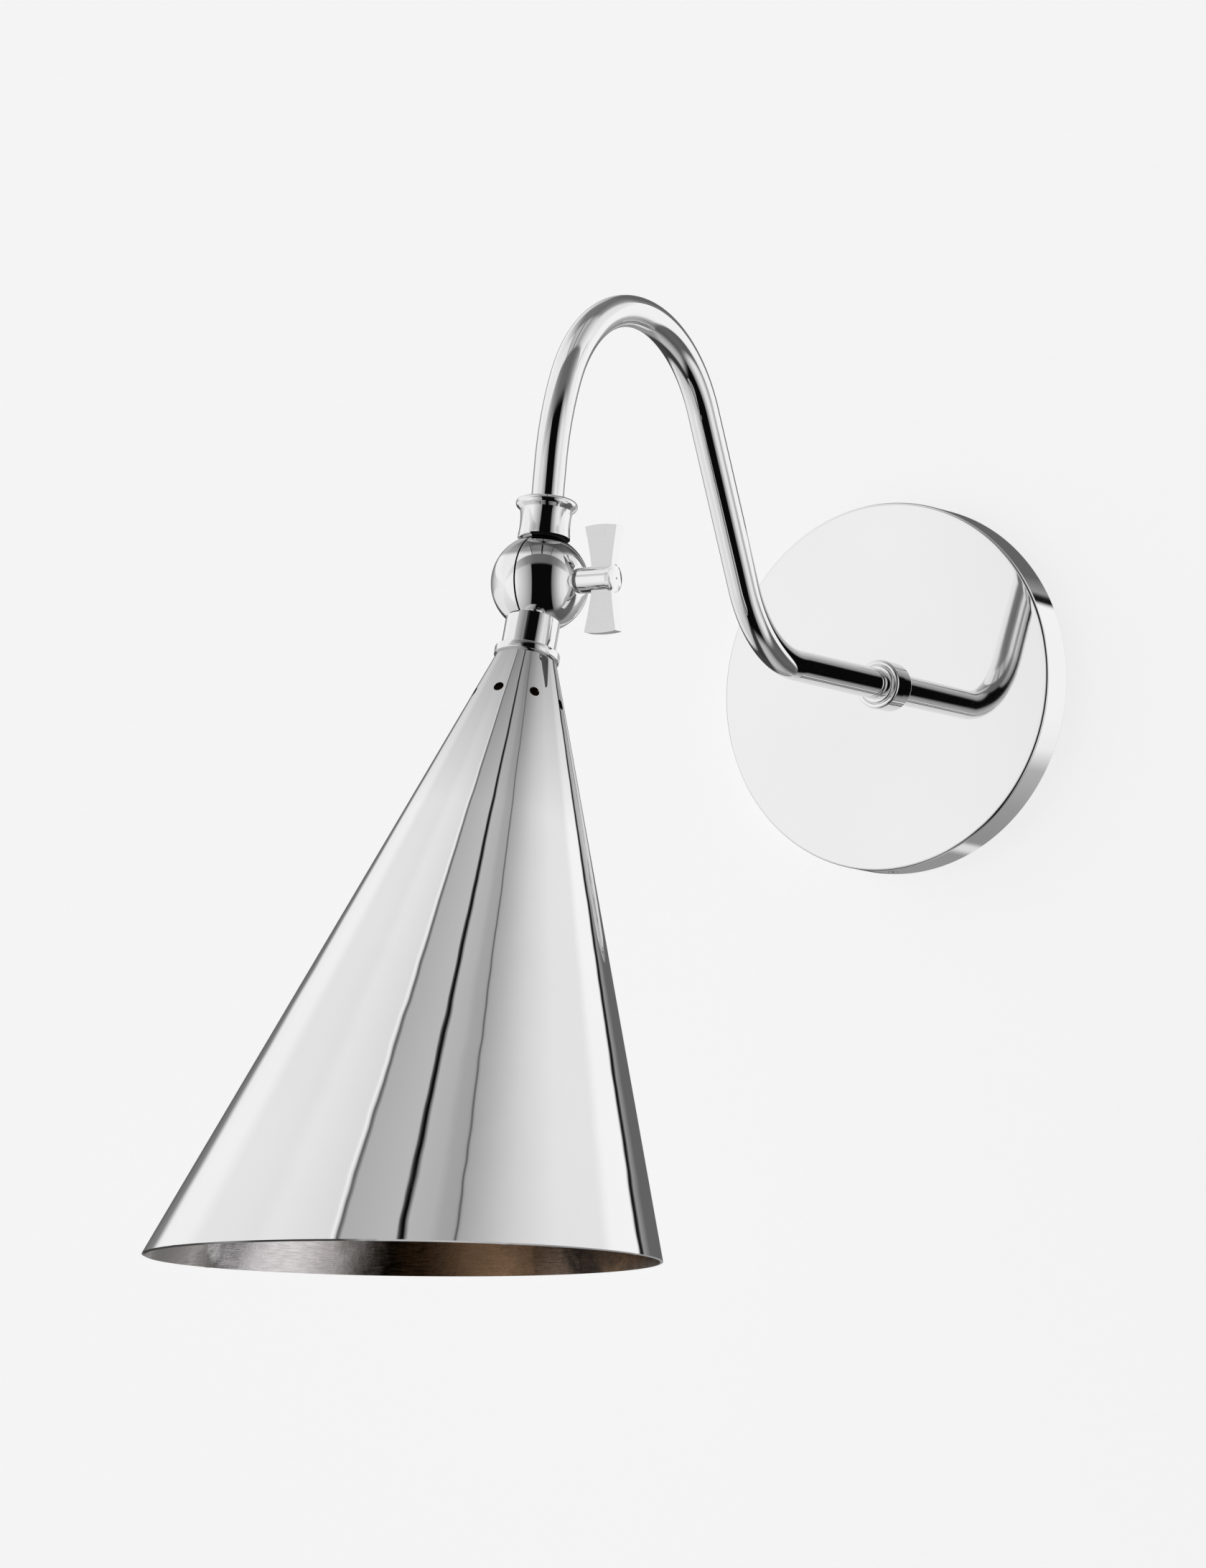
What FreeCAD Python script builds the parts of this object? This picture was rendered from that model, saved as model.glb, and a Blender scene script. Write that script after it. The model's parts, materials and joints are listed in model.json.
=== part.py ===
import FreeCAD, Part
import math
import os
import Sketcher

# Swing arm wall sconce. Millimetres, +Z up, the wall is the plane Y = 0 and the light
# stands out from it along -Y. The origin is the centre of the cover plate's wall face.

DIMENSIONS = [
    # cover plate and what is inside it
    ("plate_dia", 120.65, "cover plate, hides a 4 inch junction box"),
    ("plate_depth", 12.7, "cover plate, wall to front face"),
    ("plate_wall", 1.2, "spun metal of the cover plate"),
    ("plate_edge", 0.9, "rounding of the cover plate's front edge"),
    ("arm_hole_dia", 10.4, "hole in the cover plate for the arm"),
    ("rim_screw_height", 6.4, "rim screws, from the wall"),
    ("rim_screw_hole", 3.4, "clearance hole of a rim screw"),
    ("strap_width", 20.0, "crossbar"),
    ("strap_sheet", 1.6, "crossbar, steel sheet"),
    ("strap_half", 57.6, "crossbar, half its length over the ears"),
    ("ear_height", 9.6, "crossbar ears, from the wall"),
    ("slot_width", 5.0, "box screw slots"),
    ("slot_inner", 34.9, "box screws of a 3 inch box, from the centre"),
    ("slot_outer", 44.45, "box screws of a 4 inch box, from the centre"),
    ("strap_centre_hole", 17.0, "lead hole in the crossbar"),
    ("ground_screw_up", 21.0, "ground screw, above the centre"),
    ("ground_hole_dia", 3.3, "threaded hole of the ground screw"),
    ("ear_thread_dia", 3.0, "threaded holes in the crossbar ears"),
    ("rim_screw_dia", 2.9, "rim screw, over its thread"),
    ("rim_screw_length", 6.0, "rim screw, end to end"),
    ("rim_screw_sunk", 0.2, "rim screw's end, below the rim of the cover plate"),
    ("rim_slot_width", 0.6, "screwdriver slot of a rim screw"),
    ("rim_slot_depth", 0.9, "depth of that slot"),
    ("backing_dia", 34.0, "backing washer"),
    ("backing_sheet", 1.5, "thickness of the backing washer"),
    ("toothed_dia", 16.0, "toothed washer"),
    ("toothed_sheet", 0.8, "thickness of the toothed washer"),
    ("tooth_gap_dia", 1.8, "gaps between the teeth"),
    ("tooth_circle", 16.4, "circle of the gaps between the teeth"),
    ("nut_across", 14.0, "M10x1 nuts, across flats"),
    ("lock_nut_thick", 2.6, "lock nut of the arm"),
    ("thread_play", 0.02, "a threaded rod to the hole drawn round it"),
    # arm
    ("arm_dia", 10.0, "arm tube, outside, threaded M10x1 at both ends"),
    ("arm_bore", 8.0, "arm tube, inside"),
    ("arm_tail", 7.2, "arm behind the front face of the cover plate"),
    ("arm_out", 57.5, "first straight run, from the cover plate"),
    ("bend_low_radius", 38.0, "first bend"),
    ("rise_angle", 63.5, "riser, above the horizontal"),
    ("rise_run", 59.0, "riser, straight run"),
    ("crook_radius", 46.4, "bend over the top"),
    ("fall_angle", 65.0, "end of the bend over the top, below the horizontal"),
    ("fall_radius", 100.0, "long bend down to the end of the arm"),
    ("drop_angle", 82.0, "end of the arm, below the horizontal"),
    ("drop_run", 37.9, "from the long bend to the centre of the ball"),
    ("arm_end_short", 15.6, "the tube ends this far above the centre of the ball"),
    ("plate_collar_dia", 16.0, "collar on the cover plate"),
    ("plate_collar_height", 5.6, "height of that collar"),
    ("plate_bead_dia", 12.4, "bead of that collar, against the tube"),
    ("plate_bead_top", 6.2, "top of that bead"),
    ("plate_groove", 5.0, "groove outside that bead, above the cover plate"),
    # swivel
    ("ball_dia", 30.2, "swivel ball"),
    ("ball_cavity", 24.0, "hollow of the ball"),
    ("seam_gap", 0.3, "gap between the halves of the ball"),
    ("ball_clearance", 0.35, "each half to the other half's stub"),
    ("hub_dia", 9.0, "hub of each half, round the clamp stud"),
    ("stub_dia", 13.2, "stub of each half"),
    ("stub_end", 23.0, "stub, from the centre of the ball"),
    ("stub_start", 9.0, "stub, its inner end in the ball"),
    ("stub_step", 10.0, "height above the centre where the seam gives way to the stub"),
    ("lead_way_dia", 6.8, "way for the leads through the ball's wall"),
    ("stud_dia", 5.0, "clamp stud, M5"),
    ("stud_fit", 0.05, "running clearance round the stud"),
    ("key_seat", 14.3, "flat on the ball under the key"),
    ("pin_circle", 13.5, "stop pin, from the axis of the swivel"),
    ("pin_dia", 1.6, "stop pin"),
    ("pin_reach", 1.2, "stop pin, beyond the seam"),
    ("pin_sunk", 4.0, "stop pin, behind the seam"),
    ("groove_width", 2.0, "groove for the stop pin"),
    ("groove_spare", 0.5, "groove, deeper than the pin reaches"),
    ("groove_allow", 6.0, "groove, beyond each end of the travel, in degrees"),
    ("friction_sheet", 0.5, "friction washer, from the middle of the ball"),
    ("tilt_to_wall", 45.0, "travel of the shade towards the wall"),
    ("tilt_outward", 73.0, "travel of the shade away from the wall"),
    ("collar_low", 13.9, "collar underside, from the centre of the ball"),
    ("collar_top", 26.4, "collar top, from the centre of the ball"),
    ("collar_dia", 16.2, "collar"),
    ("bead_dia", 2.8, "bead round the top of the collar"),
    ("bead_circle", 16.3, "circle of the bead's centre"),
    ("collar_relief", 1.5, "gap between the collar and the moving half of the ball"),
    ("neck_dia", 16.8, "neck between ball and shade"),
    # clamp key
    ("shaft_dia", 8.0, "key shaft"),
    ("shaft_gap", 0.6, "spring washer's room between ball and shaft"),
    ("spring_sheet", 0.45, "thickness of the spring washer"),
    ("stud_far", 11.0, "end of the clamp stud beyond the middle of the ball"),
    ("wing_near", 17.2, "wing, near side at its ends"),
    ("wing_far", 28.4, "wing, far side at its ends"),
    ("waist_near", 19.6, "wing, near side at its waist"),
    ("waist_far", 26.8, "wing, far side at its waist"),
    ("wing_height", 33.6, "wing, end to end"),
    ("waist_height", 8.6, "waist of the wing"),
    ("wing_sheet", 4.0, "thickness of the wing"),
    ("boss_dia", 9.4, "boss on the end of the key"),
    ("boss_end", 28.2, "end of the boss, from the centre of the ball"),
    ("boss_sheet", 3.4, "length of the boss"),
    ("boss_cap", 1.2, "closed end of the boss"),
    # shade
    ("shade_tilt", 17.0, "shade axis out from the vertical"),
    ("shade_half_angle", 18.8, "cone"),
    ("shade_apex", 1.9, "tip of the cone above the centre of the ball"),
    ("shade_sheet", 0.9, "shade, spun metal"),
    ("shade_mouth", 221.9, "centre of the mouth, from the centre of the ball"),
    ("ring_dia", 20.2, "ring under the neck"),
    ("ring_top", 23.0, "ring top, from the centre of the ball"),
    ("ring_sheet", 2.4, "thickness of the ring"),
    ("vent_dia", 3.2, "vent holes"),
    ("vent_drop", 40.8, "vent holes, from the centre of the ball"),
    ("vent_turn", 6.0, "vent holes, turned on the shade"),
    # lampholder
    ("nipple_end", 46.0, "lower end of the hollow nipple"),
    ("nipple_bore", 7.8, "bore of the hollow nipple"),
    ("shade_nut_thick", 3.0, "nut under the top of the shade"),
    ("cap_top", 41.0, "lampholder cap, top"),
    ("cap_end", 62.0, "lampholder cap, lower edge"),
    ("holder_dia", 34.0, "lampholder body"),
    ("holder_end", 103.0, "mouth of the lampholder"),
    ("holder_wall", 2.6, "wall of the lampholder"),
    ("holder_floor", 5.0, "thickness of the lampholder's floor"),
    ("terminal_out", 7.0, "terminals, from the axis of the lampholder"),
    ("terminal_hole", 3.4, "holes for the terminals"),
    ("lamp_thread", 26.5, "E26 screw shell, inside, drawn plain"),
    ("lead_dia", 1.8, "insulated lead"),
    ("lead_apart", 2.8, "live and neutral leads, between centres"),
    ("lead_stop", 16.0, "the leads part inside the stubs, this far from the ball's centre"),
    ("lead_bend", 2.4, "bend of the leads behind the arm"),
    ("lead_tail", 5.0, "tail of each lead inside its connector"),
    ("connector_out", 13.0, "wire connectors, out from the centre of the plate"),
    ("connector_level", 4.5, "wire connectors, from the wall"),
    ("connector_wide", 7.8, "wire connector at its mouth"),
    ("connector_tip", 4.8, "wire connector at its tip"),
    ("connector_long", 15.0, "wire connector, end to end"),
    ("ground_lead_dia", 1.6, "bare ground lead"),
]
VENT_COUNT = 8

doc = FreeCAD.newDocument("wall_sconce")
sheet = doc.addObject("Spreadsheet::Sheet", "Dims")
for row, (name, number, note) in enumerate(DIMENSIONS, start=1):
    sheet.set(f"A{row}", note)
    sheet.set(f"B{row}", str(number))
    sheet.setAlias(f"B{row}", name)
doc.recompute()


class Size:
    """A length or angle that knows its number and its formula in the spreadsheet."""

    def __init__(self, number, formula=None):
        self.number = float(number)
        self.formula = formula or f"({number})"

    def join(self, other, sign, number):
        return Size(number, f"({self.formula} {sign} {other.formula})")

    def __add__(self, other):
        other = as_size(other)
        return self.join(other, "+", self.number + other.number)

    def __radd__(self, other):
        return as_size(other) + self

    def __sub__(self, other):
        other = as_size(other)
        return self.join(other, "-", self.number - other.number)

    def __rsub__(self, other):
        return as_size(other) - self

    def __mul__(self, other):
        other = as_size(other)
        return self.join(other, "*", self.number * other.number)

    def __rmul__(self, other):
        return as_size(other) * self

    def __truediv__(self, other):
        other = as_size(other)
        return self.join(other, "/", self.number / other.number)

    def __neg__(self):
        return Size(-self.number, f"(0 - {self.formula})")


def as_size(value):
    return value if isinstance(value, Size) else Size(value)


class Dimensions:
    """Reads the spreadsheet: d.ball_dia is the size in the cell of that name."""

    def __getattr__(self, name):
        return Size(sheet.get(name), f"Dims.{name}")


d = Dimensions()


def mm(value):
    return as_size(value).number


def tangent(angle):
    return Size(math.tan(math.radians(angle.number)), f"tan({angle.formula} * 1 deg)")


def cosine(angle):
    return Size(math.cos(math.radians(angle.number)), f"cos({angle.formula} * 1 deg)")


def bind(feature, **sizes):
    for prop, value in sizes.items():
        feature.setExpression(prop, as_size(value).formula)


# ---------------------------------------------------------------- ways of making a piece

nodes = []


def keep(feature, label, place=None):
    """Name a finished piece, put it in its place and list it for export."""
    feature.Label = label
    if place is not None:
        feature.Placement = place
    nodes.append(feature)
    return feature


def plane_of(body, role):
    return next(f for f in body.Origin.OriginFeatures if f.Role == role)


def new_sketch(body, name, role="XZ_Plane", turn=0.0):
    sketch = body.newObject("Sketcher::SketchObject", name)
    sketch.AttachmentSupport = [(plane_of(body, role), "")]
    sketch.MapMode = "FlatFace"
    if turn:
        sketch.AttachmentOffset = FreeCAD.Placement(
            FreeCAD.Vector(), FreeCAD.Rotation(FreeCAD.Vector(0, 1, 0), turn))
    return sketch


def fix_point(sketch, geometry, end, point):
    """Hold one point of the sketch at its two coordinates from the spreadsheet."""
    for kind, value in zip(("DistanceX", "DistanceY"), point):
        index = sketch.addConstraint(
            Sketcher.Constraint(kind, -1, 1, geometry, end, mm(value)))
        sketch.setExpression(f"Constraints[{index}]", as_size(value).formula)


def draw_outline(sketch, points):
    """Closed outline of straight lines through points of (across, up) sizes."""
    count = len(points)
    corners = [FreeCAD.Vector(mm(x), mm(y), 0) for x, y in points]
    lines = [sketch.addGeometry(Part.LineSegment(corners[i], corners[(i + 1) % count]))
             for i in range(count)]
    for i in range(count):
        sketch.addConstraint(
            Sketcher.Constraint("Coincident", lines[i], 2, lines[(i + 1) % count], 1))
    for line, point in zip(lines, points):
        fix_point(sketch, line, 1, point)


def draw_circle(sketch, centre, radius):
    circle = sketch.addGeometry(Part.Circle(
        FreeCAD.Vector(mm(centre[0]), mm(centre[1]), 0), FreeCAD.Vector(0, 0, 1), mm(radius)))
    fix_point(sketch, circle, 3, centre)
    index = sketch.addConstraint(Sketcher.Constraint("Radius", circle, mm(radius)))
    sketch.setExpression(f"Constraints[{index}]", as_size(radius).formula)


def turned_body(name, outline):
    """PartDesign body turned about its own Z axis from an outline of (radius, height)."""
    body = doc.addObject("PartDesign::Body", name)
    sketch = new_sketch(body, name + "_profile")
    draw_outline(sketch, outline)
    turn = body.newObject("PartDesign::Revolution", name + "_turn")
    turn.Profile = sketch
    turn.ReferenceAxis = (sketch, ["V_Axis"])
    turn.Angle = 360
    body.Tip = turn
    doc.recompute()
    return body


def padded_body(name, outline, thickness, role="XZ_Plane", both_ways=False):
    """PartDesign body: a straight-sided outline given a thickness."""
    body = doc.addObject("PartDesign::Body", name)
    sketch = new_sketch(body, name + "_outline", role)
    draw_outline(sketch, outline)
    pad = body.newObject("PartDesign::Pad", name + "_pad")
    pad.Profile = sketch
    bind(pad, Length=thickness)
    pad.Midplane = both_ways
    body.Tip = pad
    doc.recompute()
    return body


def pocket(body, name, sketch, both_ways=False, backwards=False):
    """Cut the sketch right through the body, and make sure that it removed something."""
    before = body.Shape.Volume
    cut = body.newObject("PartDesign::Pocket", name)
    cut.Profile = sketch
    cut.Type = "ThroughAll"
    cut.Midplane = both_ways
    cut.Reversed = backwards
    body.Tip = cut
    doc.recompute()
    if body.Shape.Volume > before - 0.01:
        raise RuntimeError(f"{name} cuts nothing")
    return cut


def round_edges(body, name, radius, wanted):
    """Fillet the edges of the body for which wanted(edge) is true."""
    base = body.Tip
    names = [f"Edge{i}" for i, edge in enumerate(base.Shape.Edges, start=1) if wanted(edge)]
    fillet = body.newObject("PartDesign::Fillet", name)
    fillet.Base = (base, names)
    bind(fillet, Radius=radius)
    body.Tip = fillet
    doc.recompute()


def is_ring(radius, height):
    """Test for a full circle about Z with this radius at this height."""
    def test(edge):
        curve = edge.Curve
        return (isinstance(curve, Part.Circle) and abs(curve.Radius - mm(radius)) < 1e-3
                and abs(curve.Center.z - mm(height)) < 1e-3
                and math.hypot(curve.Center.x, curve.Center.y) < 1e-3)
    return test


def cylinder(name, radius, length, start=(0, 0, 0), axis=(0, 0, 1), angle=None):
    """Part cylinder that starts at a point and runs along an axis."""
    rod = doc.addObject("Part::Cylinder", name)
    bind(rod, Radius=radius, Height=length)
    if angle is not None:
        bind(rod, Angle=angle)
    rod.Placement = FreeCAD.Placement(
        FreeCAD.Vector(*[mm(v) for v in start]),
        FreeCAD.Rotation(FreeCAD.Vector(0, 0, 1), FreeCAD.Vector(*axis)))
    return rod


def box(name, low, high):
    """Part box from its lowest corner to its highest."""
    block = doc.addObject("Part::Box", name)
    sides = [as_size(b) - as_size(a) for a, b in zip(low, high)]
    bind(block, Length=sides[0], Width=sides[1], Height=sides[2])
    block.Placement.Base = FreeCAD.Vector(*[mm(v) for v in low])
    return block


def sphere(name, radius):
    ball = doc.addObject("Part::Sphere", name)
    bind(ball, Radius=radius)
    return ball


def join(name, *pieces):
    fuse = doc.addObject("Part::MultiFuse", name)
    fuse.Shapes = list(pieces)
    fuse.Refine = True
    return fuse


def cut(name, base, *tools):
    """Base less the tools."""
    result = doc.addObject("Part::Cut", name)
    result.Base = base
    result.Tool = tools[0] if len(tools) == 1 else join(name + "_tools", *tools)
    result.Refine = True
    return result


def common(name, base, tool):
    result = doc.addObject("Part::Common", name)
    result.Base = base
    result.Tool = tool
    return result


def hexagon(across_flats):
    """Corners of a hexagon about the origin."""
    corner = as_size(across_flats) / math.sqrt(3)
    return [(corner * round(math.cos(math.radians(60 * i)), 6),
             corner * round(math.sin(math.radians(60 * i)), 6)) for i in range(6)]


def sweep(name, path, radius):
    """Round rod of one radius along a wire of straight runs and tangent arcs."""
    spine = doc.addObject("Part::Feature", name + "_path")
    spine.Shape = path
    first = path.OrderedEdges[0]
    along = first.tangentAt(first.FirstParameter)
    if (path.OrderedVertexes[0].Point - first.valueAt(first.FirstParameter)).Length > 1e-6:
        along = -first.tangentAt(first.LastParameter)
    ring = doc.addObject("Part::Circle", name + "_section")
    bind(ring, Radius=radius)
    ring.Placement = FreeCAD.Placement(
        path.OrderedVertexes[0].Point, FreeCAD.Rotation(FreeCAD.Vector(0, 0, 1), along))
    rod = doc.addObject("Part::Sweep", name)
    rod.Sections = [ring]
    rod.Spine = spine
    rod.Solid = True
    rod.Frenet = False
    doc.recompute()
    length = path.Length
    expected = math.pi * mm(radius) ** 2 * length
    if abs(rod.Shape.Volume / expected - 1) > 0.005:
        raise RuntimeError(f"{name}: swept volume is not its section times its length")
    return rod


def bent_wire(points, radius):
    """Wire through points, with an arc of the radius at each inner point."""
    edges = []
    here = points[0]
    for before, corner, after in zip(points, points[1:], points[2:]):
        into = (corner - before).normalize()
        out = (after - corner).normalize()
        turn = into.getAngle(out)
        reach = radius * math.tan(turn / 2)
        start = corner - into * reach
        end = corner + out * reach
        bisector = (out - into).normalize()
        centre = corner + bisector * (radius / math.cos(turn / 2))
        middle = centre - bisector * radius
        edges.append(Part.LineSegment(here, start).toShape())
        edges.append(Part.Arc(start, middle, end).toShape())
        here = end
    edges.append(Part.LineSegment(here, points[-1]).toShape())
    return Part.Wire(edges)


# ------------------------------------------------------------------- places of the pieces

TO_FRONT = FreeCAD.Rotation(FreeCAD.Vector(1, 0, 0), 90)   # a piece's own Z becomes -Y


def arm_edges(across):
    """Centre line of the arm in the plane X = across, and the point where it would end."""
    front = -mm(d.plate_depth)
    out = [math.radians(mm(a)) for a in (d.rise_angle, d.fall_angle, d.drop_angle)]
    rise, fall, drop = out
    here = FreeCAD.Vector(across, front + mm(d.arm_tail), 0)
    heading = 0.0
    edges = []

    def run(length):
        nonlocal here
        end = here + FreeCAD.Vector(0, -math.cos(heading), math.sin(heading)) * length
        edges.append(Part.LineSegment(here, end).toShape())
        here = end

    def bend(radius, new_heading):
        nonlocal here, heading
        side = 1 if new_heading > heading else -1
        centre = here + FreeCAD.Vector(0, math.sin(heading), math.cos(heading)) * radius * side

        def on_arc(angle):
            return centre - FreeCAD.Vector(0, math.sin(angle), math.cos(angle)) * radius * side

        end = on_arc(new_heading)
        edges.append(Part.Arc(here, on_arc((heading + new_heading) / 2), end).toShape())
        here = end
        heading = new_heading

    run(mm(d.arm_tail) + mm(d.arm_out))
    bend(mm(d.bend_low_radius), rise)
    run(mm(d.rise_run))
    bend(mm(d.crook_radius), -fall)
    bend(mm(d.fall_radius), -drop)
    along = FreeCAD.Vector(0, -math.cos(drop), -math.sin(drop))
    return edges, here, along


def arm_wire(across, stop_short):
    """Arm centre line that ends a distance short of the centre of the ball."""
    edges, here, along = arm_edges(across)
    end = here + along * (mm(d.drop_run) - stop_short)
    return Part.Wire(edges + [Part.LineSegment(here, end).toShape()])


_, long_bend_end, arm_end_direction = arm_edges(0.0)
ball_centre = long_bend_end + arm_end_direction * mm(d.drop_run)
collar_place = FreeCAD.Placement(
    ball_centre, FreeCAD.Rotation(FreeCAD.Vector(1, 0, 0), mm(d.drop_angle) - 90))
shade_place = FreeCAD.Placement(
    ball_centre, FreeCAD.Rotation(FreeCAD.Vector(1, 0, 0), -mm(d.shade_tilt)))
key_place = FreeCAD.Placement(ball_centre, FreeCAD.Rotation())
plate_place = FreeCAD.Placement(FreeCAD.Vector(), TO_FRONT)


def before_wall(distance):
    """Place of a piece whose own Z = 0 stands this far out from the wall."""
    return FreeCAD.Placement(FreeCAD.Vector(0, -mm(distance), 0), TO_FRONT)


# -------------------------------------------------------------------- wall and cover plate

def make_backplate():
    radius = d.plate_dia / 2
    hole = d.arm_hole_dia / 2
    inside = radius - d.plate_wall
    under = d.plate_depth - d.plate_wall
    body = turned_body("backplate_shell", [
        (hole, d.plate_depth), (hole, under), (inside, under),
        (inside, 0), (radius, 0), (radius, d.plate_depth)])
    round_edges(body, "plate_edge_round", d.plate_edge, is_ring(radius, d.plate_depth))
    holes = new_sketch(body, "rim_screw_holes_sketch")
    draw_circle(holes, (0, d.rim_screw_height), d.rim_screw_hole / 2)
    pocket(body, "rim_screw_holes", holes, both_ways=True)
    return keep(body, "backplate", plate_place)


def make_crossbar():
    """Strap across the junction box, its ends bent forward into ears for the rim screws."""
    half = d.strap_half
    sheet_in = half - d.strap_sheet
    body = padded_body("crossbar_body", [
        (-d.ear_height, -half), (0, -half), (0, half), (-d.ear_height, half),
        (-d.ear_height, sheet_in), (-d.strap_sheet, sheet_in),
        (-d.strap_sheet, -sheet_in), (-d.ear_height, -sheet_in)],
        d.strap_width, role="YZ_Plane", both_ways=True)
    slots = new_sketch(body, "box_screw_slots_sketch")
    side = d.slot_width / 2
    for up in (1, -1):
        draw_outline(slots, [
            (-side, up * d.slot_inner), (side, up * d.slot_inner),
            (side, up * d.slot_outer), (-side, up * d.slot_outer)])
    pocket(body, "box_screw_slots", slots, both_ways=True)
    ends = new_sketch(body, "slot_ends_sketch")
    for up in (1, -1):
        draw_circle(ends, (0, up * d.slot_inner), side - 0.001)
        draw_circle(ends, (0, up * d.slot_outer), side - 0.001)
    pocket(body, "slot_ends", ends, both_ways=True)
    middle = new_sketch(body, "lead_hole_sketch")
    draw_circle(middle, (0, 0), d.strap_centre_hole / 2)
    draw_circle(middle, (0, d.ground_screw_up), d.ground_hole_dia / 2)
    pocket(body, "lead_and_ground_holes", middle, both_ways=True)
    threads = new_sketch(body, "ear_threads_sketch", role="XY_Plane")
    draw_circle(threads, (0, -d.rim_screw_height), d.ear_thread_dia / 2)
    pocket(body, "ear_threads", threads, both_ways=True)
    return keep(body, "crossbar")


def slotted_screw(name, thread_radius, thread_length, head_radius, head_height, slot_width):
    """Pan head screw, head up from Z = 0, with a screwdriver slot."""
    shank = cylinder(name + "_shank", thread_radius, thread_length + head_height / 2,
                     (0, 0, -thread_length))
    head = doc.addObject("Part::Cone", name + "_head")
    bind(head, Radius1=head_radius, Radius2=head_radius * 0.8, Height=head_height)
    slot = box(name + "_slot", (-head_radius, -slot_width / 2, head_height * 0.5),
               (head_radius, slot_width / 2, head_height * 2))
    return cut(name, join(name + "_blank", shank, head), slot)


def make_rim_screws():
    """Two headless screws, from the rim of the cover plate into the ears."""
    outer = d.plate_dia / 2 - d.rim_screw_sunk
    across = d.rim_slot_width / 2
    screws = []
    for up in (1, -1):
        start = outer - d.rim_screw_length if up == 1 else -outer
        rod = cylinder(f"rim_screw_rod_{up}", d.rim_screw_dia / 2, d.rim_screw_length,
                       (0, -d.rim_screw_height, start))
        low = outer - d.rim_slot_depth if up == 1 else -outer - d.rim_screw_dia
        high = outer + d.rim_screw_dia if up == 1 else -outer + d.rim_slot_depth
        slot = box(f"rim_screw_slot_{up}",
                   (-d.rim_screw_dia, -d.rim_screw_height - across, low),
                   (d.rim_screw_dia, -d.rim_screw_height + across, high))
        screws.append(cut(f"rim_screw_{up}", rod, slot))
    pair = doc.addObject("Part::Compound", "rim_screw_pair")
    pair.Links = screws
    return keep(pair, "rim_screws")


def make_ground_screw():
    screw = slotted_screw(
        "ground_screw_part", thread_radius=as_size(1.6), thread_length=as_size(4.4),
        head_radius=as_size(3.6), head_height=as_size(2.0), slot_width=as_size(0.8))
    place = FreeCAD.Placement(
        FreeCAD.Vector(0, -mm(d.strap_sheet), mm(d.ground_screw_up)), TO_FRONT)
    screw.Placement = place
    return keep(screw, "ground_screw")


def washer(name, label, inner, outer, thickness, place):
    body = turned_body(name, [
        (inner, 0), (outer, 0), (outer, thickness), (inner, thickness)])
    return keep(body, label, place)


TOOTH_COUNT = 12


def make_arm_fixings():
    """Backing washer, toothed washer and lock nut, inside the cover plate's face."""
    bore = d.arm_dia / 2 + d.thread_play
    face = d.plate_depth - d.plate_wall
    behind_backing = face - d.backing_sheet
    behind_toothed = behind_backing - d.toothed_sheet
    washer("backing_washer_body", "arm_backing_washer", bore, d.backing_dia / 2,
           d.backing_sheet, before_wall(behind_backing))
    disc = cylinder("toothed_disc", d.toothed_dia / 2, d.toothed_sheet)
    through = 3 * d.toothed_sheet
    hole = cylinder("toothed_hole", bore, through, (0, 0, -d.toothed_sheet))
    tooth_gaps = []
    for i in range(TOOTH_COUNT):
        angle = 2 * math.pi * i / TOOTH_COUNT
        out = d.tooth_circle / 2
        tooth_gaps.append(cylinder(
            f"tooth_gap_{i}", d.tooth_gap_dia / 2, through,
            (out * math.cos(angle), out * math.sin(angle), -d.toothed_sheet)))
    keep(cut("toothed_washer_part", disc, hole, *tooth_gaps), "arm_toothed_washer",
         before_wall(behind_toothed))
    nut = padded_body("lock_nut_body", hexagon(d.nut_across), d.lock_nut_thick,
                      role="XY_Plane")
    bore_sketch = new_sketch(nut, "lock_nut_bore_sketch", role="XY_Plane")
    draw_circle(bore_sketch, (0, 0), bore)
    pocket(nut, "lock_nut_bore", bore_sketch, both_ways=True)
    keep(nut, "arm_lock_nut",
         before_wall(behind_toothed - d.lock_nut_thick))


# ------------------------------------------------------------------------------------ arm

def make_arm():
    wire = arm_wire(0.0, mm(d.arm_end_short))
    outside = sweep("arm_outside", wire, d.arm_dia / 2)
    inside = sweep("arm_inside", wire, d.arm_bore / 2)
    return keep(cut("arm_tube_part", outside, inside), "arm_tube")


def make_plate_collar():
    """Turned ring round the arm on the cover plate, with a bead against the tube."""
    bore = d.arm_dia / 2 + d.thread_play
    radius = d.plate_collar_dia / 2
    bead = d.plate_bead_dia / 2
    body = turned_body("plate_collar_body", [
        (bore, 0), (radius, 0), (radius, d.plate_collar_height),
        (bead + 0.7, d.plate_collar_height), (bead + 0.3, d.plate_groove),
        (bead, d.plate_groove), (bead, d.plate_bead_top), (bore, d.plate_bead_top)])
    round_edges(body, "plate_collar_round", 0.8, is_ring(radius, d.plate_collar_height))
    round_edges(body, "plate_collar_bead_round", 0.7, is_ring(bead, d.plate_bead_top))
    return keep(body, "plate_collar", before_wall(d.plate_depth))


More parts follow.
